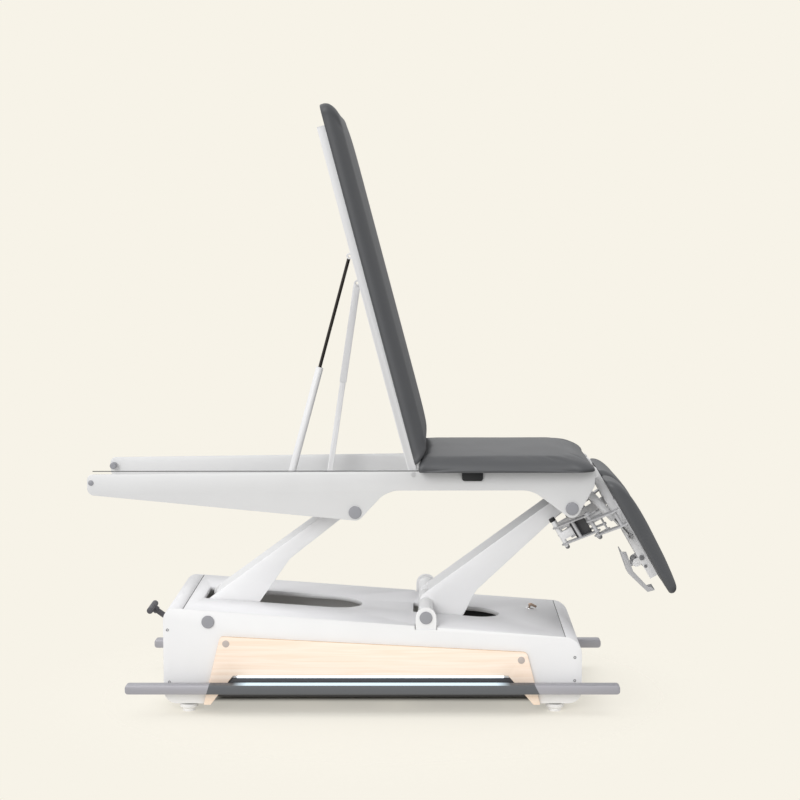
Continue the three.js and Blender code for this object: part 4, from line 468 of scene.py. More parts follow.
SCREW_PROFILE = ((0, -0.6), (1.4, -0.6), (1.7, 0.1), (3.6, 0.1), (4.2, 0.6), (4.2, -1.5), (0, -1.5))
steel_screw = surface("screw_steel", (0.30, 0.30, 0.31), 0.4, metallic=0.8, mottle=60)
for side, sign in SIDES:
    screws = bmesh.new()
    for x, z in SCREW_PLACES:
        turned(screws, SCREW_PROFILE, facing(sign, x, sign * PANEL_OUTER, z), steps=18)
    add_piece(f"panel_screws_{side}", screws, steel_screw, "base")

# End covers: pale sheet folded over each end of the housing, from the seam in the top to the
# underside. The left one has an upright slot for the castor lever. A black strip under each seam
# is painted shade in the gap.
COVER_WALL = 3
COVER_HALF = 285.7
SEAM_GAP = 2.4
LEVER_SLOT = (16, 146, 226)
SLOT_WITHIN = -BASE_HALF + 60
cover_coat = surface("cover_coat", (0.84, 0.836, 0.85), 0.48, bump=0.2)


def closed_wall(piece):
    """Gives an open sheet its thickness, inwards."""
    wall = piece.modifiers.new("wall", "SOLIDIFY")
    wall.thickness = COVER_WALL * MM
    wall.offset = -1
    wall.use_even_offset = True


def sliced(bm, place, normal, **cleared):
    """Cuts the mesh at a plane, and clears a side of it if that is named."""
    geom = bm.verts[:] + bm.edges[:] + bm.faces[:]
    return bmesh.ops.bisect_plane(bm, geom=geom, plane_co=place, plane_no=normal, **cleared)


for end, seam, node in ((-1, HIGH_SEAM[0] - SEAM_GAP, "left"), (1, LOW_SEAM[0] + SEAM_GAP, "right")):
    # Painted shade: a black strip under the seam darkens the gap.
    seam_shade = bmesh.new()
    inner_seam, outer_seam = sorted((seam, seam + end * -SEAM_GAP))
    height = cover_height(seam)
    block(seam_shade, (inner_seam, -COVER_HALF, height - 4), (outer_seam, COVER_HALF, height - 0.3))
    add_piece(f"seam_painted_shade_{node}", seam_shade, dark_moulding, "base")
    shell = bmesh.new()
    outer = [c for c in panel_corners if len(c) > 2 and c[2] > 5]
    cut_sheet(shell, outer, -COVER_HALF, COVER_HALF, rim=0, steps=12)
    caps = [f for f in shell.faces if abs(f.normal.y) > 0.9]
    bmesh.ops.delete(shell, geom=caps, context="FACES")
    sliced(shell, (seam, 0, 0), (1, 0, 0), **{"clear_outer" if end < 0 else "clear_inner": True})
    if end < 0:
        half, low, high = LEVER_SLOT
        for y in (-half, half):
            sliced(shell, (0, y, 0), (0, 1, 0))
        for z in (low, high):
            sliced(shell, (0, 0, z), (0, 0, 1))
        opening = []
        for face in shell.faces:
            middle = face.calc_center_median()
            if abs(middle.y) < half and low < middle.z < high and middle.x < SLOT_WITHIN:
                opening.append(face)
        bmesh.ops.delete(shell, geom=opening, context="FACES")
    cover = add_piece(f"cover_{node}", shell, cover_coat, "base", f"end_cover_{node}")
    closed_wall(cover)

# Top cover: one sloped sheet with a slot for each arm, its edges turned down, and notches for
# the bearing uprights. It lies in its own axes, from the high seam down the slope. A black block
# stands under the right arm's slot, so that the slot looks black inside.
COVER_PLACE = at(HIGH_SEAM[0], 0, HIGH_SEAM[1]) @ about("Y", COVER_SLOPE)


def along_cover(x):
    """Distance down the slope from the high seam."""
    return (x - HIGH_SEAM[0]) / math.cos(COVER_SLOPE)


def pour(target, bm):
    """Adds a finished mesh to another."""
    carrier = mesh_of(bm, "carrier")
    target.from_mesh(carrier)
    bpy.data.meshes.remove(carrier)


def arm_slot(bm, start, end, half):
    """A slot with one square and one round end, its rim rolled over and turned down."""
    corners = ((start, -half, 8), (end, -half, half - 0.5), (end, half, half - 0.5), (start, half, 8))
    verts = [bm.verts.new((x, y, 0)) for x, y, _ in corners]
    bm.faces.new(verts)
    for vert, corner in zip(verts, corners):
        round_corner(bm, vert, corner[2], 16 if corner[2] > 20 else 5)
    face = next(f for f in bm.faces if all(abs(v.co.z) < 0.001 for v in f.verts))
    if face.normal.z < 0:
        face.normal_flip()
    for thickness, drop in ((0.5, -0.25), (0.7, -1.0)):
        bmesh.ops.inset_region(
            bm, faces=[face], thickness=thickness, depth=drop, use_even_offset=True, use_boundary=True
        )
    lip = bmesh.ops.extrude_face_region(bm, geom=[face])["geom"]
    bmesh.ops.translate(bm, vec=(0, 0, -12), verts=[v for v in lip if isinstance(v, bmesh.types.BMVert)])
    bmesh.ops.delete(bm, geom=[f for f in lip if isinstance(f, bmesh.types.BMFace)], context="FACES")
    bmesh.ops.delete(bm, geom=[f for f in bm.faces if len(f.verts) > 8], context="FACES_ONLY")


LEFT_ARM_HALF = 94
RIGHT_ARM_HALF = 73
NOTCH_IN = 263
SLOT_BLOCK_BOX = ((190, 128, 120), (430, 131, 226))
cover_sheet = bmesh.new()
for start, end, half in (
    (LEFT_FOOT.x - 33, LEFT_FOOT.x + 439, LEFT_ARM_HALF + 4),
    (RIGHT_FOOT.x - 39, RIGHT_FOOT.x + 222, RIGHT_ARM_HALF + 4),
):
    slot_mesh = bmesh.new()
    arm_slot(slot_mesh, along_cover(start), along_cover(end), half)
    pour(cover_sheet, slot_mesh)
notch_low, notch_high = along_cover(notch_left), along_cover(notch_right)
cover_end = along_cover(LOW_SEAM[0])
edge_points = [(0, -COVER_HALF), (notch_low, -COVER_HALF), (notch_low, -NOTCH_IN)]
edge_points += [(notch_high, -NOTCH_IN), (notch_high, -COVER_HALF), (cover_end, -COVER_HALF)]
edge_points += [(x, -y) for x, y in reversed(edge_points)]
rim_verts = [cover_sheet.verts.new((x, y, 0)) for x, y in edge_points]
rim_edges = [cover_sheet.edges.new(pair) for pair in zip(rim_verts, rim_verts[1:] + rim_verts[:1])]
slot_edges = [
    e for e in cover_sheet.edges if e not in rim_edges and all(abs(v.co.z) < 0.001 for v in e.verts)
]
bmesh.ops.triangle_fill(cover_sheet, edges=rim_edges + slot_edges, use_beauty=True, normal=(0, 0, 1))
bmesh.ops.recalc_face_normals(cover_sheet, faces=cover_sheet.faces)
top_cover = add_piece(
    "cover_top", cover_sheet, cover_coat, "base", "top_cover", COVER_PLACE
)
closed_wall(top_cover)
slot_block = bmesh.new()
block(slot_block, *SLOT_BLOCK_BOX, 0.5)
add_piece("slot_black_block", slot_block, dark_moulding, "base")

# Key switch: a bright ring pressed into the top cover, and a small brass key standing in it,
# with a bow that leans to the right.
LOCK_PLACE = COVER_PLACE @ at(along_cover(BASE_HALF - 131), 118, 0)
brass = surface("key_brass", (0.36, 0.27, 0.21), 0.32, metallic=0.8, mottle=80, shade=0.1)
bright_steel = surface("bright_steel", (0.66, 0.66, 0.66), 0.22, metallic=0.95, mottle=60)
ring = bmesh.new()
RING_PROFILE = ((3.2, -3), (3.2, 2.2), (4.4, 3), (9.5, 3), (10.2, 2.4), (11.6, 2.4), (12.6, 1.6))
RING_PROFILE += ((13, 0.4), (13, -3), (3.2, -3))
KEY_HALF = 1.4
KEY_SHANK = ((-2.4, 0), (2.4, 0), (3.4, 8, 1))
KEY_BOW = ((20, 3, 1), (23, 9, 2), (4, 17, 3), (-4, 15, 2), (-3.4, 8, 1))
turned(ring, RING_PROFILE, Matrix.Identity(4), steps=36)
add_piece("lock_ring", ring, bright_steel, "base", "key_switch", LOCK_PLACE)
key = bmesh.new()
cut_sheet(key, KEY_SHANK + KEY_BOW, -KEY_HALF, KEY_HALF, rim=0.5, steps=4)
add_piece("lock_key", key, brass, "key", "key", LOCK_PLACE)

# Wood panels: birch plywood, clear lacquered, with pale figure along the grain, dark glue
# lines at the cut edges, and a long cut-out over the foot rail.
WOOD_INNER = 290.3
WOOD_OUTER = 299.7
BIRCH_STREAKS = ((0.3, (0.92, 0.735, 0.585)), (0.68, (0.985, 0.835, 0.715)))
BIRCH_LAYERS = ((0.25, (0.55, 0.36, 0.2)), (0.55, (0.86, 0.66, 0.46)))


def birch_finish():
    """Pale streaks along the faces and dark layers at the cut edges."""
    finish = surface("birch_plywood", (0.95, 0.86, 0.75), 0.5, shade=0.02, mottle=5, grain=260, bump=0.05)
    tree = finish.node_tree
    coordinates = new_node(tree, "TexCoord").outputs
    place = coordinates["Object"]
    long_grain = new_node(tree, "Mapping", Vector=place, Scale=(1.3, 1, 34)).outputs[0]
    figure = new_node(tree, "TexNoise", Vector=long_grain, Scale=3.2, Detail=6.0, Distortion=0.7)
    streak = ramped(tree, figure.outputs["Fac"], BIRCH_STREAKS)
    layers = new_node(tree, "TexWave", {"bands_direction": "Y"}, Vector=place, Scale=105.0)
    layer = ramped(tree, layers.outputs["Fac"], BIRCH_LAYERS)
    across = new_node(tree, "SeparateXYZ", Vector=coordinates["Normal"]).outputs["Y"]
    is_face = ranged(tree, maths(tree, "ABSOLUTE", across), 0.4, 0.8)
    mixed = new_node(tree, "Mix", {"data_type": "RGBA"}, _0=is_face, _6=layer, _7=streak)
    tree.links.new(mixed.outputs[2], tree.nodes["Principled BSDF"].inputs["Base Color"])
    return finish


birch = birch_finish()
wood_corners = ((-489, 26, 3), (-469, 26, 3), (-403, 111.6, 6), (392, 111.6, 6))
wood_corners += ((465, 26, 3), (485, 26, 3), (446, 180, 15), (-440, 226, 12))
for side, sign in SIDES:
    board = bmesh.new()
    cut_sheet(board, wood_corners, *ordered(sign, WOOD_INNER, WOOD_OUTER), rim=0.7, steps=6)
    add_piece(f"birch_panel_{side}", board, birch, "base", f"wood_panel_{side}")

# Panel caps: two moulded discs cover the screws of each wood panel.
CAP_PLACES = ((-422.8, 204.9), (429.7, 157))
PLUG_PROFILE = ((0, 1.5), (8.6, 1.4), (10, 0.9), (10.4, 0), (10.4, -1), (0, -1))
taupe_moulding = surface("taupe_moulding", (0.50, 0.44, 0.41), 0.5)
for side, sign in SIDES:
    plugs = bmesh.new()
    for x, z in CAP_PLACES:
        turned(plugs, PLUG_PROFILE, facing(sign, x, sign * WOOD_OUTER, z), steps=32)
    add_piece(f"birch_panel_plugs_{side}", plugs, taupe_moulding, "base")

# Light bar: a diffuser strip along the top of each cut-out, which lights the foot rail a little.
# Under it a black strip over the panel is painted shade in the cut-out, and the glow on the rail's tread is
# painted light.
BAR_LEFT = -392
BAR_RIGHT = 380
cutout_shade_black = surface("cutout_shade_black", (0.04, 0.04, 0.045), 0.55, shade=0.08)
glow = surface("light_bar", (0.92, 0.92, 0.95), 0.5)
glow_shader = glow.node_tree.nodes["Principled BSDF"]
glow_shader.inputs["Emission Color"].default_value = (0.72, 0.86, 1, 1)
glow_shader.inputs["Emission Strength"].default_value = 0.9
for side, sign in SIDES:
    bar = bmesh.new()
    near_wall, far_wall = ordered(sign, WOOD_INNER + 0.4, WOOD_OUTER - 0.8)
    block(bar, (BAR_LEFT, near_wall, 104.6), (BAR_RIGHT, far_wall, 111.2), 1.2)
    add_piece(f"light_bar_{side}", bar, glow, "base")
    # Painted shade: a black strip over the panel behind the cut-out, where shade falls.
    cutout_shade = bmesh.new()
    near_wall, far_wall = ordered(sign, PANEL_OUTER + 0.1, PANEL_OUTER + 1.6)
    cutout_shade_corners = ((-444, ARCH_TOP), (437, ARCH_TOP), (398, 104.2), (-409, 104.2))
    cut_sheet(cutout_shade, cutout_shade_corners, near_wall, far_wall, rim=0.3)
    add_piece(f"cutout_painted_shade_{side}", cutout_shade, cutout_shade_black, "base")

# Foot rails: a satin grey aluminium bar with rounded ends along each side. A dark tread covers
# its middle, cut off aslant at both ends; under the light bar its upward faces glow with painted light.
RAIL_HALF = 711
RAIL_LOW = 65.7
RAIL_HIGH = 92.6
RAIL_CORNER = 9
RAIL_INNER = 303
RAIL_OUTER = 341
STUB_X = 448
STUB_HALF = 8
STUB_LOW = 69.2
STUB_HIGH = 81
STUB_REACH = (275.4, 306)
TREAD_LEFT = ((-477, RAIL_LOW), (-469, RAIL_HIGH))
TREAD_RIGHT = ((481, RAIL_LOW), (467, RAIL_HIGH))
rail_grey = surface("satin_aluminium", (0.36, 0.355, 0.385), 0.42, metallic=0.2, stretch=(0.05, 1, 1))
tread_grey_with_painted_glow = surface("tread_moulding_painted_glow", (0.1, 0.106, 0.116), 0.5, stretch=(0.1, 1, 1), shade=0.06)


def paint_bar_glow(finish, left, right, soft):
    """Paints the light bar's glow onto upward faces between left and right, in millimetres, as painted
    light.
    """
    tree = finish.node_tree
    shader = tree.nodes["Principled BSDF"]
    coordinates = new_node(tree, "TexCoord").outputs
    along = new_node(tree, "SeparateXYZ", Vector=coordinates["Object"]).outputs["X"]
    up = new_node(tree, "SeparateXYZ", Vector=coordinates["Normal"]).outputs["Z"]
    level = ranged(tree, up, 0.55, 0.9)
    for edge, inwards in ((left, soft), (right, -soft)):
        start = edge * MM + BASE_MIDDLE
        level = maths(tree, "MULTIPLY", level, ranged(tree, along, start, start + inwards * MM))
    # Painted light: a pale blue glow on the tread's upward faces.
    shader.inputs["Emission Color"].default_value = (0.71, 0.86, 0.95, 1)
    tree.links.new(level, shader.inputs["Emission Strength"])


paint_bar_glow(tread_grey_with_painted_glow, BAR_LEFT - 10, BAR_RIGHT + 18, 40)


def rail_bar(bm, sign):
    """The whole bar, rounded at its ends in plan and in elevation."""
    ends = ((-RAIL_HALF, RAIL_LOW), (RAIL_HALF, RAIL_LOW), (RAIL_HALF, RAIL_HIGH), (-RAIL_HALF, RAIL_HIGH))
    corners = [(*end, RAIL_CORNER) for end in ends]
    cut_sheet(bm, corners, *ordered(sign, RAIL_INNER, RAIL_OUTER), rim=2.2, steps=6)


def slant_cut(bm, line, keep_right):
    """Cuts the bar along a slanted line in X and Z and closes the cut."""
    (x0, z0), (x1, z1) = line
    normal = Vector((z1 - z0, 0, x0 - x1)).normalized()
    result = sliced(bm, (x0, 0, z0), normal, clear_inner=keep_right, clear_outer=not keep_right)
    edges = [e for e in result["geom_cut"] if isinstance(e, bmesh.types.BMEdge)]
    bmesh.ops.edgeloop_fill(bm, edges=edges)


for side, sign in SIDES:
    carrier = f"foot_rail_{side}"
    ends = bmesh.new()
    for line, right in ((TREAD_LEFT, False), (TREAD_RIGHT, True)):
        one = bmesh.new()
        rail_bar(one, sign)
        slant_cut(one, line, right)
        pour(ends, one)
    stub_near, stub_far = ordered(sign, *STUB_REACH)
    for x in (-STUB_X, STUB_X):
        low, high = (x - STUB_HALF, stub_near, STUB_LOW), (x + STUB_HALF, stub_far, STUB_HIGH)
        block(ends, low, high, 1)
    add_piece(f"rail_ends_{side}", ends, rail_grey, carrier, f"foot_rail_{side}")
    tread = bmesh.new()
    rail_bar(tread, sign)
    slant_cut(tread, TREAD_LEFT, True)
    slant_cut(tread, TREAD_RIGHT, False)
    add_piece(f"rail_tread_{side}", tread, tread_grey_with_painted_glow, carrier, f"foot_rail_tread_{side}")

# Levelling feet: stepped white mouldings on threaded studs.
foot_moulding = surface("foot_moulding", (0.86, 0.855, 0.86), 0.5)
FOOT_PROFILE = ((0, 0), (17.3, 0), (18.5, 1.2), (18.5, 4), (17.8, 4.4), (18.5, 4.8), (18.5, 8))
FOOT_PROFILE += ((25.4, 12.4), (26.5, 13.6), (26.5, 21.8), (25.3, 23), (8, 23.4), (6, 24.5))
FOOT_PROFILE += ((6, 31.7), (0, 31.7))
FOOT_Y = 255
for end, x in (("left", -536), ("right", 529)):
    for side, sign in SIDES:
        foot = bmesh.new()
        turned(foot, FOOT_PROFILE, at(x, sign * FOOT_Y, 0), steps=48)
        node = f"levelling_foot_{end}_{side}"
        add_piece(f"foot_{end}_{side}", foot, foot_moulding, "base", node)

# Castor lever: a steel shaft with a ribbed rubber grip across its end, standing out of the slot
# in the left cover.
LEVER_PLACE = at(-545, 0, 162.9) @ about("Y", math.radians(35.8))
LEVER_LENGTH = 159
FINGER_BOX = ((-11.5, -12, -5), (11, 12, 5))
grip_rubber = surface("grip_rubber", (0.076, 0.074, 0.082), 0.55, shade=0.08)
ALONG_X = about("Y", math.pi / 2)
ALONG_Y = about("X", -math.pi / 2)


def rod_profile(radius, start, end, edge=0.8, bore=0.0):
    """The profile of a rod or tube between two heights, with its end edges eased."""
    points = [(bore, start), (radius - edge, start), (radius, start + edge)]
    points += [(radius, end - edge), (radius - edge, end), (bore, end)]
    return points + points[:1] if bore else points


def grip_profile(radius, half, ribs):
    """A grip with shallow rings round it and domed ends."""
    points = [(0, -half), (radius * 0.6, -half), (radius * 0.92, -half + 1.6), (radius, -half + 4)]
    pitch = 2 * (half - 8) / ribs
    for i in range(ribs):
        start = -half + 8 + i * pitch
        for inset, share in ((0, 0), (0.5, 0.2), (0.5, 0.35), (0, 0.55)):
            points.append((radius - inset, start + pitch * share))
    points += [(radius, half - 4), (radius * 0.92, half - 1.6), (radius * 0.6, half), (0, half)]
    return points


lever = bmesh.new()
turned(lever, rod_profile(8.5, -LEVER_LENGTH + 2, -10), ALONG_X, steps=32)
turned(lever, rod_profile(14, -12, 12, 1.2, bore=5.5), ALONG_Y, steps=32)
turned(lever, rod_profile(11.5, -LEVER_LENGTH - 1, -LEVER_LENGTH + 19, 2), ALONG_X, steps=32)
finger = about("Y", -math.radians(45.8)) @ at(-11, 0, 0)
before_finger = set(lever.verts)
block(lever, *FINGER_BOX, 1)
bmesh.ops.transform(lever, matrix=finger, verts=fresh(lever, before_finger))
bar_place = at(-LEVER_LENGTH, 0, 0) @ ALONG_Y
turned(lever, grip_profile(9.5, 65, 9), bar_place, steps=32)
add_piece("lever_grip", lever, grip_rubber, "castor_lever", "castor_lever", LEVER_PLACE)

# Motor cable: a black round lead from the control box to the motor, with slack for the swing.
CABLE_RADIUS = 3.5
CABLE_Y = 78
cable_low = 84.3 + CABLE_RADIUS + 4
cable_start = 413.7
cable_end = -187.4
cable_run = cable_start - cable_end
cable_points = (
    (cable_start, CABLE_Y, cable_low + 29),
    (cable_start - cable_run / 20, CABLE_Y, cable_low + 29),
    (cable_start - cable_run / 7, CABLE_Y * 0.8, cable_low + 63.8),
    (cable_start - cable_run / 4.6, CABLE_Y * 0.95, cable_low + 71.9),
    (cable_start - cable_run / 3, CABLE_Y, cable_low + 40.6),
    (cable_start - cable_run / 2, CABLE_Y, cable_low + 14.5),
    (cable_end + cable_run / 6, CABLE_Y, cable_low + 14.5),
    (cable_end, CABLE_Y * 0.85, cable_low + 29),
    (cable_end, 29.3, cable_low + 29),
)
CABLE_STEPS = 6


def between(p, q, low, high, t):
    """The point at t on the line that passes p at low and q at high."""
    return (p * (high - t) + q * (t - low)) / (high - low)


def smooth_route(points, steps):
    """Points along a curve that runs through the given ones."""
    places = [Vector(p) for p in points]
    places = [places[0] * 2 - places[1], *places, places[-1] * 2 - places[-2]]
    route = []
    for four in zip(places, places[1:], places[2:], places[3:]):
        knots = [0.0]
        for p, q in zip(four, four[1:]):
            knots.append(knots[-1] + max((q - p).length, 0.001) ** 0.5)
        for k in range(steps):
            t = knots[1] + (knots[2] - knots[1]) * k / steps
            lines = [between(four[n], four[n + 1], knots[n], knots[n + 1], t) for n in range(3)]
            arcs = [between(lines[n], lines[n + 1], knots[n], knots[n + 2], t) for n in range(2)]
            route.append(between(*arcs, knots[1], knots[2], t))
    route.append(places[-2])
    return route


cable_route = [
    Vector((p.x * MM + BASE_MIDDLE, p.y * MM, p.z * MM)) for p in smooth_route(cable_points, CABLE_STEPS)
]
cable_curve = bpy.data.curves.new("motor_lead", "CURVE")
cable_curve.dimensions = "3D"
cable_curve.bevel_depth = CABLE_RADIUS * MM
cable_curve.bevel_resolution = 4
cable_curve.use_fill_caps = True
spline = cable_curve.splines.new("POLY")
spline.points.add(len(cable_route) - 1)
for point, place in zip(spline.points, cable_route):
    point.co = (*place, 1)
cable = linked("motor_lead", cable_curve)
cable_curve.materials.append(surface("cable_sheath", (0.2, 0.2, 0.205), 0.5))
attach(cable, "base")
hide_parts("motor_cable")

# Arms: folded channels with a tube across each end, in white powder coat. The left arm turns on
# the panels' shaft, the right arm on the bearing uprights.
ARM_ANGLE = math.radians(36.05)
ARM_LENGTH = 525
ARM_WALL = 5
HUB_RADIUS = 22
HUB_BORE = 9.5
LUG_REACH = 85
LUG_HALF = 6
LEFT_ARM = {"half": LEFT_ARM_HALF, "top": 36, "neck": (464, -3), "waist": (271, -10), "flare": (120, -62)}
RIGHT_ARM = {"half": RIGHT_ARM_HALF, "top": 30, "neck": (483, -14), "waist": (144, -55), "flare": (72, -92)}


def folded_arm(size, hubs, extra=()):
    """One arm lying along X from its lower pivot: two cheeks, the folded top, and the tubes."""
    arm = bmesh.new()
    corners = (
        (-11.6, -29, 14.5),
        (size["flare"][0] * 0.55, size["flare"][1], 14.5),
        (*size["flare"], 9.7),
        (*size["waist"], 58),
        (*size["neck"], 29),
        (547, -22, 17.6),
        (547, size["top"], 17.6),
        (-11.6, size["top"], 23.2),
    )
    for sign in (-1, 1):
        cut_sheet(arm, corners, *ordered(sign, size["half"] - ARM_WALL, size["half"]), rim=1.2)
    side, top = size["half"] - 1, size["top"]
    block(arm, (29, -side, top - ARM_WALL), (520, side, top - 0.05))
    for x, half in hubs:
        place = at(x, 0, 0) @ ALONG_Y
        turned(arm, rod_profile(HUB_RADIUS, -half, half, 1.2, bore=HUB_BORE), place, steps=56)
    for profile, place in extra:
        turned(arm, profile, place, steps=56)
    return arm


LEFT_ARM_PLACE = at(LEFT_FOOT) @ about("Y", -ARM_ANGLE)
left_arm = folded_arm(LEFT_ARM, ((0, 265), (ARM_LENGTH, 218.7)))
add_piece("arm_left", left_arm, white_coat, "left_arm", "left_arm", LEFT_ARM_PLACE)
RIGHT_ARM_PLACE = at(RIGHT_FOOT) @ about("Y", -ARM_ANGLE)
collars = [
    (rod_profile(24, *ordered(sign, 262.7, 271.7), 1, bore=HUB_BORE), ALONG_Y) for sign in (-1, 1)
]
right_arm = folded_arm(RIGHT_ARM, ((0, 271.7), (ARM_LENGTH, 110)), collars)
lug_turn = about("Y", math.pi / 2 + ARM_ANGLE)
lug_eye = at(LUG_REACH, 0, 0) @ ALONG_Y
before_lug = set(right_arm.verts)
block(right_arm, (15, -LUG_HALF, -9), (LUG_REACH, LUG_HALF, 9), 1)
turned(right_arm, rod_profile(13, -LUG_HALF, LUG_HALF, 1, bore=6), lug_eye, steps=32)
bmesh.ops.transform(right_arm, matrix=lug_turn, verts=fresh(right_arm, before_lug))
add_piece("arm_right", right_arm, white_coat, "right_arm", "right_arm", RIGHT_ARM_PLACE)

# Pivot shafts: steel shafts whose ends are covered by satin grey caps.
cap_moulding = surface("cap_moulding", (0.31, 0.312, 0.335), 0.46, bump=0.1)
CAP_RADIUS = 18.5


def capped_shaft(inner, outer):
    """A shaft along Y with a domed cap on each end."""
    shaft = bmesh.new()
    turned(shaft, rod_profile(9, -inner, inner), ALONG_Y, steps=32)
    for sign in (-1, 1):
        cap = [(0, outer), (CAP_RADIUS * 0.7, outer - 0.1), (CAP_RADIUS - 1.2, outer - 0.5)]
        cap += [(CAP_RADIUS - 0.2, outer - 1.7), (CAP_RADIUS, inner), (0, inner)]
        turned(shaft, cap, about("X", -sign * math.pi / 2), steps=48)
    return shaft


DECK_X = LEFT_FOOT.x + ARM_LENGTH * math.cos(ARM_ANGLE)
DECK_RISE = 122.5
DECK_TOP = LEFT_FOOT.z + ARM_LENGTH * math.sin(ARM_ANGLE) + DECK_RISE
DECK_PLACE = at(DECK_X, 0, DECK_TOP)
LEFT_HEAD = DECK_PLACE @ at(0, 0, -DECK_RISE)
for name, inner, outer, body, node, place in (
    ("shaft_base_left", 290.3, 295.5, "base", "base_shaft_left", at(LEFT_FOOT)),
    ("shaft_base_right", 286, 290.3, "base", "base_shaft_right", at(RIGHT_FOOT)),
    ("shaft_deck_left", 225.3, 230.8, "deck", "deck_shaft_left", LEFT_HEAD),
):
    add_piece(name, capped_shaft(inner, outer), cap_moulding, body, node, place)
SHARP = math.radians(40)


def body_of(node):
    """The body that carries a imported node."""
    bodies = frame["record"]["behaviour"]["bodies"]
    return next(body for body, members in bodies.items() if node in members)


def eased_copy(node, name, finish, width=0.6):
    """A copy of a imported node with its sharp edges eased, fixed to the same body."""
    bm = bmesh.new()
    bm.from_mesh(nodes[node].data)
    bmesh.ops.remove_doubles(bm, verts=bm.verts, dist=1e-6)
    bmesh.ops.dissolve_limit(bm, angle_limit=math.radians(1), verts=bm.verts, edges=bm.edges)
    joined = [e for e in bm.edges if len(e.link_faces) == 2]
    ease(bm, [e for e in joined if e.calc_face_angle() > SHARP], width * MM)
    return dressed(name, bm, finish, body_of(node), node)


eased_copy("deck_shaft_right", "shaft_deck_right", cap_moulding)
RIGHT_HEAD = DECK_PLACE @ at(630, 0, -112)
RIGHT_CAP = ((0, 231), (13, 230.9), (17.3, 230.5), (18.4, 229), (18.7, 225.3), (0, 225.3))
right_caps = bmesh.new()
for sign in (-1, 1):
    turned(right_caps, RIGHT_CAP, about("X", -sign * math.pi / 2), steps=48)
add_piece("shaft_caps_right", right_caps, cap_moulding, "deck", place=RIGHT_HEAD)

# Deck: two long white side plates joined by a cross member, with buffers at the left end. A
# thin black strip on the near plate's top edge, left of the seat, is painted shade in the gap there.
deck_coat = surface("deck_coat", (0.735, 0.735, 0.735), 0.42, bump=0.2)
edge_shade_black = surface("edge_shade_black", (0.1, 0.1, 0.1), 0.6, shade=0.1)
PLATE_INNER = 219
PLATE_OUTER = 225
plate_corners = ((695.5, 0, 3), (180, 0), (-778.5, -11, 16), (-778.5, -70.3, 20), (10, -147.7, 24))
plate_corners += ((92.5, -58.6, 80), (514.4, -58.6, 80), (637, -150.5, 24), (695.5, -46, 20))
BUFFER_X = -767.5
BUFFER_Z = -35.3
BUFFER_HEAD = ((0, 228.4), (5, 228.2), (7.4, 227.2), (8, 225.3), (0, 225.3))
ear_corners = ((657.4, -23.5), (708.4, -23.5, 10.7), (708.4, -1.5, 10.7), (657.4, -1.5))
for side, sign in SIDES:
    plate = bmesh.new()
    cut_sheet(plate, plate_corners, *ordered(sign, PLATE_INNER, PLATE_OUTER), rim=1.2, steps=10)
    cut_sheet(plate, ear_corners, *ordered(sign, PLATE_INNER - 6, PLATE_INNER + 1), rim=0.6)
    add_piece(
        f"plate_{side}", plate, deck_coat, "deck", f"deck_plate_{side}", DECK_PLACE
    )
    buffer = bmesh.new()
    for profile in (rod_profile(10, 190.7, 218.7, 2), rod_profile(4, 217, 226), BUFFER_HEAD):
        turned(buffer, profile, facing(sign, BUFFER_X, 0, BUFFER_Z), steps=32)
    add_piece(
        f"buffer_stop_{side}", buffer, cap_moulding, "deck", f"buffer_{side}", DECK_PLACE
    )
# Painted shade: a thin black strip along the near plate's top edge.
EDGE_SHADE_BOX = ((-762, -PLATE_OUTER - 0.9, -2.6), (185, -PLATE_OUTER + 1, -0.1))
edge_shade = bmesh.new()
block(edge_shade, *EDGE_SHADE_BOX, 0.3)
add_piece("plate_edge_painted_shade", edge_shade, edge_shade_black, "deck", place=DECK_PLACE)
eased_copy("strut_cross_member", "strut_tray", deck_coat)
bracket_coat = surface("bracket_coat", (0.55, 0.55, 0.56), 0.4, metallic=0.15, bump=0.15)
eased_copy("backrest_hinge_shaft", "hinge_shaft_back", zinc_plate)
eased_copy("head_hinge_shaft", "hinge_shaft_head", zinc_plate)

# Badge: a blank dark tab clipped over the near plate's top edge, under the seat.
badge = bmesh.new()
badge_corners = ((260, 669, 8), (321, 669, 8), (321, 699.6, 3), (260, 699.6, 3))
cut_sheet(badge, badge_corners, -PLATE_OUTER - 11, -PLATE_OUTER - 0.1, rim=1.5, steps=8)
add_piece("badge_blank", badge, dark_moulding, "deck")

# Struts behind the backrest: a gas spring with a white tube and a dark polished rod, on a
# sliding block, and a telescopic stay of white box section.
polished_rod = surface("polished_rod", (0.035, 0.03, 0.026), 0.16, metallic=0.6, mottle=60)
BACK_ANGLE = math.radians(75.3)
BACK_PLACE = DECK_PLACE @ at(170.5, 0, -12.5) @ about("Y", BACK_ANGLE)


def strut_axes(start, eye, place):
    """Axes that run along X from a pivot on the deck to an eye, and the length between them."""
    eye_point = DECK_PLACE.inverted() @ place @ Vector(eye)
    run = eye_point - Vector(start)
    turn = about("Y", -math.atan2(run.z, run.x))
    return DECK_PLACE @ at(start) @ turn, run.length


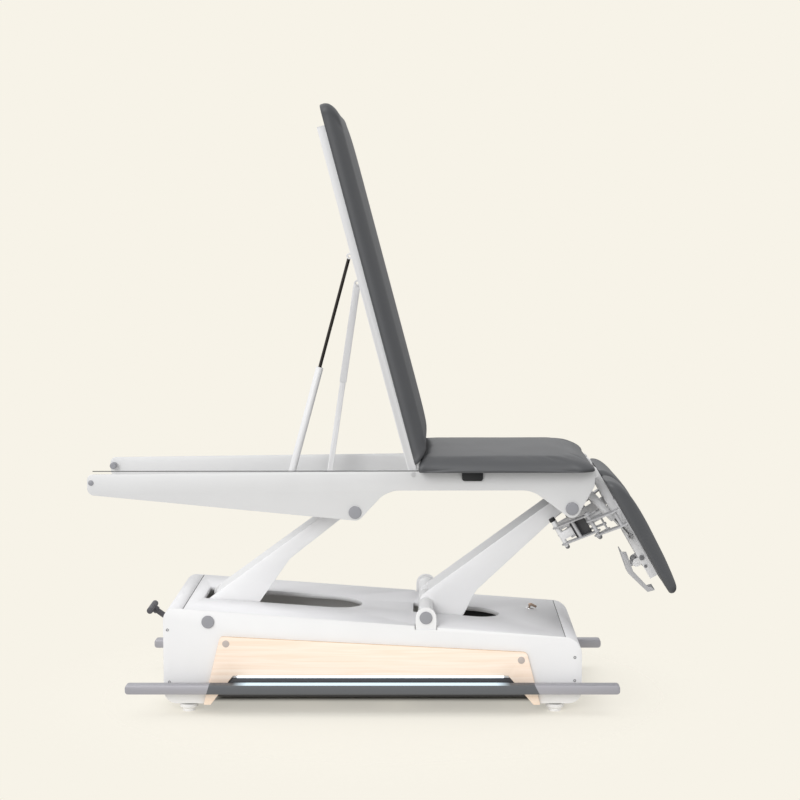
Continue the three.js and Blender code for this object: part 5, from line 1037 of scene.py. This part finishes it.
def spring_pieces(name, ends, tube, rod, bodies, rod_finish):
    """A gas spring: tube with a rolled end and an eye, and the rod with its own eye."""
    axes, length = strut_axes(*ends)
    tube_mesh = bmesh.new()
    radius, start, end = tube
    profile = [(0, start), (radius - 3, start), (radius - 0.4, start + 3), (radius, start + 5)]
    profile += [(radius, end - 6), (radius - 0.6, end - 5), (radius - 0.6, end - 3.5)]
    profile += [(radius, end - 2.5), (radius - 1.5, end), (5.4, end), (5.4, start + 12), (0, start + 12)]
    turned(tube_mesh, profile, ALONG_X, steps=36)
    turned(tube_mesh, rod_profile(8.8, -6, 6, 0.8, bore=4.4), ALONG_Y, steps=28)
    block(tube_mesh, (6, -5, -4.4), (start + 1, 5, 4.4), 0.8)
    add_piece(name + "_tube", tube_mesh, white_coat, bodies[0], name + "_tube", axes)
    rod_mesh = bmesh.new()
    rod_radius, rod_start = rod
    turned(rod_mesh, rod_profile(rod_radius, rod_start, length - 7), ALONG_X, steps=28)
    eye_place = at(length, 0, 0) @ ALONG_Y
    turned(rod_mesh, rod_profile(8.6, -6, 6, 0.8, bore=4.4), eye_place, steps=28)
    add_piece(name + "_rod", rod_mesh, rod_finish, bodies[1], name + "_rod", axes)


spring_pieces(
    "gas_spring",
    ends=((-203, -60, -59), (-658, -60, -23), BACK_PLACE),
    tube=(11, 15, 361),
    rod=(5, 342),
    bodies=("gas_tube", "gas_rod"),
    rod_finish=polished_rod,
)
eased_copy("gas_spring_slider", "gas_spring_block", zinc_plate)
eased_copy("stay_inner", "stay_bar", white_coat)
eased_copy("stay_outer", "stay_sleeve", white_coat, 0.5)

# Backrest frame: two box rails with flat cross bars, and a plastic plug in each rail's end.
eased_copy("back_frame", "back_rails", white_coat, 0.8)
BACK_RAIL_SIDES = (191.6, 215.4)
BACK_RAIL_HALF = 11.9
BACK_RAIL_END = (-1038.5, -1035.8)
rail_plugs = bmesh.new()
for sign in (-1, 1):
    inner, outer = ordered(sign, *BACK_RAIL_SIDES)
    start, end = BACK_RAIL_END
    block(rail_plugs, (start, inner, -BACK_RAIL_HALF), (end, outer, BACK_RAIL_HALF), 1)
add_piece("back_rail_plugs", rail_plugs, white_coat, "back_frame", place=BACK_PLACE)


# Pads: foam on a flat board under satin imitation leather with a fine grain. The cover is
# pulled over the rim and closed flat under the board.
def leather_finish():
    """Dark grey with a fine pebbled grain over slight, broad waves."""
    finish = surface("imitation_leather", (0.072, 0.0745, 0.079), 0.46, shade=0.05, mottle=7, grain=150)
    tree = finish.node_tree
    shader = tree.nodes["Principled BSDF"]
    place = new_node(tree, "TexCoord").outputs["Object"]
    cells = new_node(tree, "TexVoronoi", {"feature": "DISTANCE_TO_EDGE"}, Vector=place, Scale=520.0)
    pores = new_node(tree, "TexNoise", Vector=place, Scale=1400.0, Detail=3.0).outputs["Fac"]
    rough = maths(tree, "ADD", ranged(tree, cells.outputs["Distance"], 0, 0.12), pores)
    grain = new_node(tree, "Bump", Strength=0.22, Distance=0.0003, Height=rough).outputs[0]
    folds = new_node(tree, "TexNoise", Vector=place, Scale=11.0, Detail=2.0).outputs["Fac"]
    slack = new_node(tree, "Bump", Strength=0.12, Distance=0.004, Height=folds, Normal=grain)
    tree.links.new(slack.outputs[0], shader.inputs["Normal"])
    shader.inputs["Specular IOR Level"].default_value = 0.6
    return finish


leather = leather_finish()
RAIL_TOP = 12.8
UNDERCUT = 8
PAD_RINGS = 12
CLOTH = {"quality": 4, "mass": 0.4, "tension_stiffness": 40, "compression_stiffness": 40}
CLOTH |= {"shear_stiffness": 20, "bending_stiffness": 4, "use_pressure": True}
CLOTH |= {"uniform_pressure_force": 4, "vertex_group_mass": "held"}
SWELL_FRAMES = 12
PAD_HALF = 297


def metre_axes(place):
    """The same axes in metres in the row frame."""
    moved = place.copy()
    moved.translation = moved.translation * MM + Vector((BASE_MIDDLE, 0, 0))
    return moved


def settled(mesh_object):
    """The object's mesh with its modifiers worked in."""
    bpy.context.view_layer.update()
    graph = bpy.context.evaluated_depsgraph_get()
    return bpy.data.meshes.new_from_object(mesh_object.evaluated_get(graph))


def plan_point(a, b, box, insets, radii):
    """A point of a rectangle with rounded corners, whose sides run from 0 to 1 in a and b."""
    left, right = box[0] + insets[0], box[1] - insets[1]
    low, high = box[2] + insets[2], box[3] - insets[2]
    x, y = left + (right - left) * a, low + (high - low) * b
    radius = radii[0] if a < 0.5 else radii[1]
    centre_x = left + radius if a < 0.5 else right - radius
    centre_y = low + radius if b < 0.5 else high - radius
    out_x = min(x - centre_x, 0) if a < 0.5 else max(x - centre_x, 0)
    out_y = min(y - centre_y, 0) if b < 0.5 else max(y - centre_y, 0)
    if out_x and out_y:
        share = max(abs(out_x), abs(out_y)) / math.hypot(out_x, out_y)
        x, y = centre_x + out_x * share, centre_y + out_y * share
    return x, y


def pad_form(form):
    """A closed cushion: flat underside, rounded or slanted ends, drawn-in sides and a crown."""
    bm = bmesh.new()
    box, radii, cell = form["box"], form["corners"], form["cell"]
    columns = round((box[1] - box[0]) / cell)
    rows = round((box[3] - box[2]) / cell)
    widest = form["thickness"] * form["widest"]
    levels = []
    for k in range(1, PAD_RINGS):
        turn = (k / PAD_RINGS - 0.5) * math.pi
        reach = widest if turn < 0 else form["thickness"] - widest
        drawn = 1 - math.cos(turn)
        height = widest + reach * math.sin(turn)
        levels.append((height, 0, UNDERCUT * drawn) if turn < 0 else (height, drawn, 0))

    def place(i, j, height, share, tuck, crown):
        """A vertex of a layer: share is how far it is drawn in, tuck how far it is tucked under."""
        a, b = i / columns, j / rows
        slant = height / form["thickness"]
        ends = [form["ends"][n] * share + form["slants"][n] * slant + tuck for n in range(2)]
        x, y = plan_point(a, b, box, (*ends, form["side"] * share + tuck), radii)
        rise = height + crown * (1 - abs(2 * a - 1) ** form["level"]) * (1 - (2 * b - 1) ** 2)
        middle_y = (box[2] + box[3]) / 2
        draw = form["draw"] * (1 - (2 * a - 1) ** 2) * (1 - share) * min(height / 20, 1)
        y += -draw if y > middle_y else draw
        return bm.verts.new((x, y, form["low"] + rise * (1 - form["taper"] * a)))

    grids = []
    for height, share, tuck, crown in ((0, 0, UNDERCUT, 0), (form["thickness"], 1, 0, form["crown"])):
        grids.append(
            [[place(i, j, height, share, tuck, crown) for j in range(rows + 1)] for i in range(columns + 1)]
        )
    for upward, grid in enumerate(grids):
        for i in range(columns):
            for j in range(rows):
                ring = [grid[i][j], grid[i + 1][j], grid[i + 1][j + 1], grid[i][j + 1]]
                bm.faces.new(ring if upward else ring[::-1])
    around = [(i, 0) for i in range(columns)] + [(columns, j) for j in range(rows)]
    around += [(i, rows) for i in range(columns, 0, -1)] + [(0, j) for j in range(rows, 0, -1)]
    rings = [[grids[0][i][j] for i, j in around]]
    rings += [[place(i, j, *level, 0) for i, j in around] for level in levels]
    rings.append([grids[1][i][j] for i, j in around])
    for lower, upper in zip(rings, rings[1:]):
        for n in range(len(around)):
            m = (n + 1) % len(around)
            bm.faces.new((lower[n], lower[m], upper[m], upper[n]))
    bmesh.ops.recalc_face_normals(bm, faces=bm.faces)
    return bm


PAD_LOOK = {"side": 40, "cell": 10, "draw": 2, "taper": 0, "widest": 0.4, "level": 4}


def padding(node, name, body, place, swell=5, **form):
    """Blows up a cushion's form as foam under a stretched cover, held flat by its board."""
    form = PAD_LOOK | form
    bm = pad_form(form)
    bmesh.ops.scale(bm, vec=(MM, MM, MM), verts=bm.verts)
    mesh = mesh_of(bm, name)
    pad = linked(name, mesh)
    board = (form["low"] + 1) * MM
    start = [v.co.copy() for v in mesh.vertices]
    held = pad.vertex_groups.new(name="held")
    held.add([v.index for v in mesh.vertices if v.co.z < board], 1.0, "REPLACE")
    cloth = pad.modifiers.new("cover", "CLOTH")
    for setting, value in CLOTH.items():
        setattr(cloth.settings, setting, value)
    cloth.settings.effector_weights.gravity = 0
    cloth.collision_settings.use_collision = False
    cloth.collision_settings.use_self_collision = False
    for number in range(1, SWELL_FRAMES + 1):
        scene.frame_set(number)
    blown = settled(pad)
    pad.modifiers.clear()
    pad.vertex_groups.clear()
    for vertex, rest, moved in zip(mesh.vertices, start, blown.vertices):
        shift = moved.co - rest
        if shift.length > swell * MM:
            shift *= swell * MM / shift.length
        vertex.co = rest + shift
        vertex.co.z = max(vertex.co.z, form["low"] * MM)
    bpy.data.meshes.remove(blown)
    scene.frame_set(1)
    fine = pad.modifiers.new("fine", "SUBSURF")
    fine.levels = fine.render_levels = 1
    pad.data = settled(pad)
    pad.modifiers.clear()
    pad.data.transform(metre_axes(place))
    pad.data.materials.clear()
    pad.data.materials.append(leather)
    pad.data.shade_smooth()
    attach(pad, body)
    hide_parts(node)


BACK_BOX = (-1098, -25, -PAD_HALF, PAD_HALF)
BACK_PAD = {"low": RAIL_TOP, "thickness": 43, "crown": 10, "level": 12}
BACK_PAD |= {"ends": (40, 6), "slants": (0, 32), "corners": (26, 12)}
SEAT_BOX = (180, 700, -PAD_HALF, PAD_HALF)
SEAT_PAD = {"low": 0.3, "thickness": 41, "crown": 9, "level": 10, "widest": 0.3}
SEAT_PAD |= {"ends": (6, 58), "slants": (8, 22), "corners": (12, 50)}
padding("back_pad", "pad_back", "back_frame", BACK_PLACE, box=BACK_BOX, **BACK_PAD)
padding("seat_pad", "pad_seat", "deck", DECK_PLACE, box=SEAT_BOX, **SEAT_PAD)

# Head section: box rails, two cross bars and the link posts, with its pad, its gas spring and
# the release handle under the far bar. The handle's strap has a lip and a dark stop, and two
# hexagon bolts hold the posts.
HEAD_ANGLE = math.radians(60)
HEAD_PLACE = DECK_PLACE @ at(697.4, 0, -12.5) @ about("Y", HEAD_ANGLE)
eased_copy("head_frame", "head_rails", white_coat, 0.6)
HEAD_BOX = (5, 400, -125, 125)
HEAD_PAD = {"low": RAIL_TOP, "thickness": 43, "crown": 6, "swell": 3, "taper": 0.3}
HEAD_PAD |= {"ends": (56, 20), "slants": (36, 0), "corners": (22, 20), "side": 28, "cell": 7}
padding("head_pad", "pad_head", "head_frame", HEAD_PLACE, box=HEAD_BOX, **HEAD_PAD)
eased_copy("release_handle", "handle_strap", bracket_coat, 0.6)
STRAP_HALF = 46
strap_corners = ((267, -47), (336, -59.5), (412, -37.6), (417, -17.5))
strap_corners += ((404, -22), (400, -30), (337, -45), (275, -34))
strap_lip = bmesh.new()
cut_sheet(strap_lip, strap_corners, -STRAP_HALF - 0.2, -STRAP_HALF + 2, rim=0.3, steps=3)
add_piece("handle_lip", strap_lip, bracket_coat, body_of("release_handle"), place=HEAD_PLACE)
STOP_BOX = ((279, 2.5 - STRAP_HALF, -51), (293, 28 - STRAP_HALF, -38))
strap_stop = bmesh.new()
block(strap_stop, *STOP_BOX, 1)
add_piece("handle_stop", strap_stop, dark_moulding, body_of("release_handle"), place=HEAD_PLACE)
spring_pieces(
    "head_spring",
    ends=((669.6, -140, -60.9), (222, -140, -1), HEAD_PLACE),
    tube=(11.5, 20, 130),
    rod=(5, 36),
    bodies=("head_spring_tube", "head_spring_rod"),
    rod_finish=bright_steel,
)
bolts = bmesh.new()
HEX_PROFILE = ((0, 4.6), (7.4, 4.6), (8.4, 3.8), (8.4, 0), (0, 0))
for u, n, radius in ((298, -3.5, 1.0), (326, -6, 0.62)):
    place = HEAD_PLACE @ facing(-1, u, -123.2, n) @ Matrix.Diagonal((radius, radius, radius, 1))
    turned(bolts, HEX_PROFILE, place, steps=6)
add_piece("head_bolts", bolts, steel_screw, "head_frame", crease=20)

# Armrests: each pad stands on a zinc bracket that swings on a link and a tie. The link's back
# is a web painted black as painted shade inside the link, and its two pins end in domed nuts.
# A dark cap closes the low pin.
LINK_LOW = Vector((0, 92, -177))
LINK_HIGH = Vector((0, 178, -79))
NUT_PROFILE = ((0, 8), (3.6, 7.4), (6.4, 4.4), (6.8, 0.2), (0, 0.2))
SHADE_WEB_OFF = 10.75
SHADE_WEB_WALL = 1.25
for side, sign in SIDES:
    for part in ("link", "tie", "bracket"):
        eased_copy(f"armrest_{part}_{side}", f"arm_{part}_{side}", bracket_coat, 0.5)
    link = body_of(f"armrest_link_{side}")
    low_pin, high_pin = (Vector((0, sign * pin.y, pin.z)) for pin in (LINK_LOW, LINK_HIGH))
    run = high_pin - low_pin
    at_low = HEAD_PLACE @ at(low_pin)
    along_link = at_low @ about("X", math.atan2(run.z, run.y))
    # Painted shade: a black web that darkens the inside of the link.
    shade_web = bmesh.new()
    off = sign * SHADE_WEB_OFF
    block(shade_web, (100, 42, off - SHADE_WEB_WALL), (152, 104, off + SHADE_WEB_WALL), 0.4)
    add_piece(f"arm_link_web_{side}", shade_web, shade_coat_black, link, place=along_link)
    for label, pin, start, body in (("low", low_pin, 164, "head_frame"), ("high", high_pin, 172, link)):
        nut = bmesh.new()
        nut_place = HEAD_PLACE @ at(pin + Vector((start, 0, 0))) @ ALONG_X
        turned(nut, NUT_PROFILE, nut_place, steps=28)
        add_piece(f"arm_nut_{label}_{side}", nut, steel_screw, body, crease=30)
    pin_cap = bmesh.new()
    turned(pin_cap, rod_profile(9, 67, 78.2, 1), at_low @ ALONG_X, steps=28)
    add_piece(f"arm_pin_cap_{side}", pin_cap, dark_moulding, "head_frame")
    pad_box = (16, 403, *ordered(sign, 137, 298))
    bracket = f"armrest_bracket_{side}"
    padding(f"armrest_pad_{side}", f"pad_arm_{side}", bracket, HEAD_PLACE, box=pad_box, **HEAD_PAD)

# The box of the solids and of the dressed table.
low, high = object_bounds()
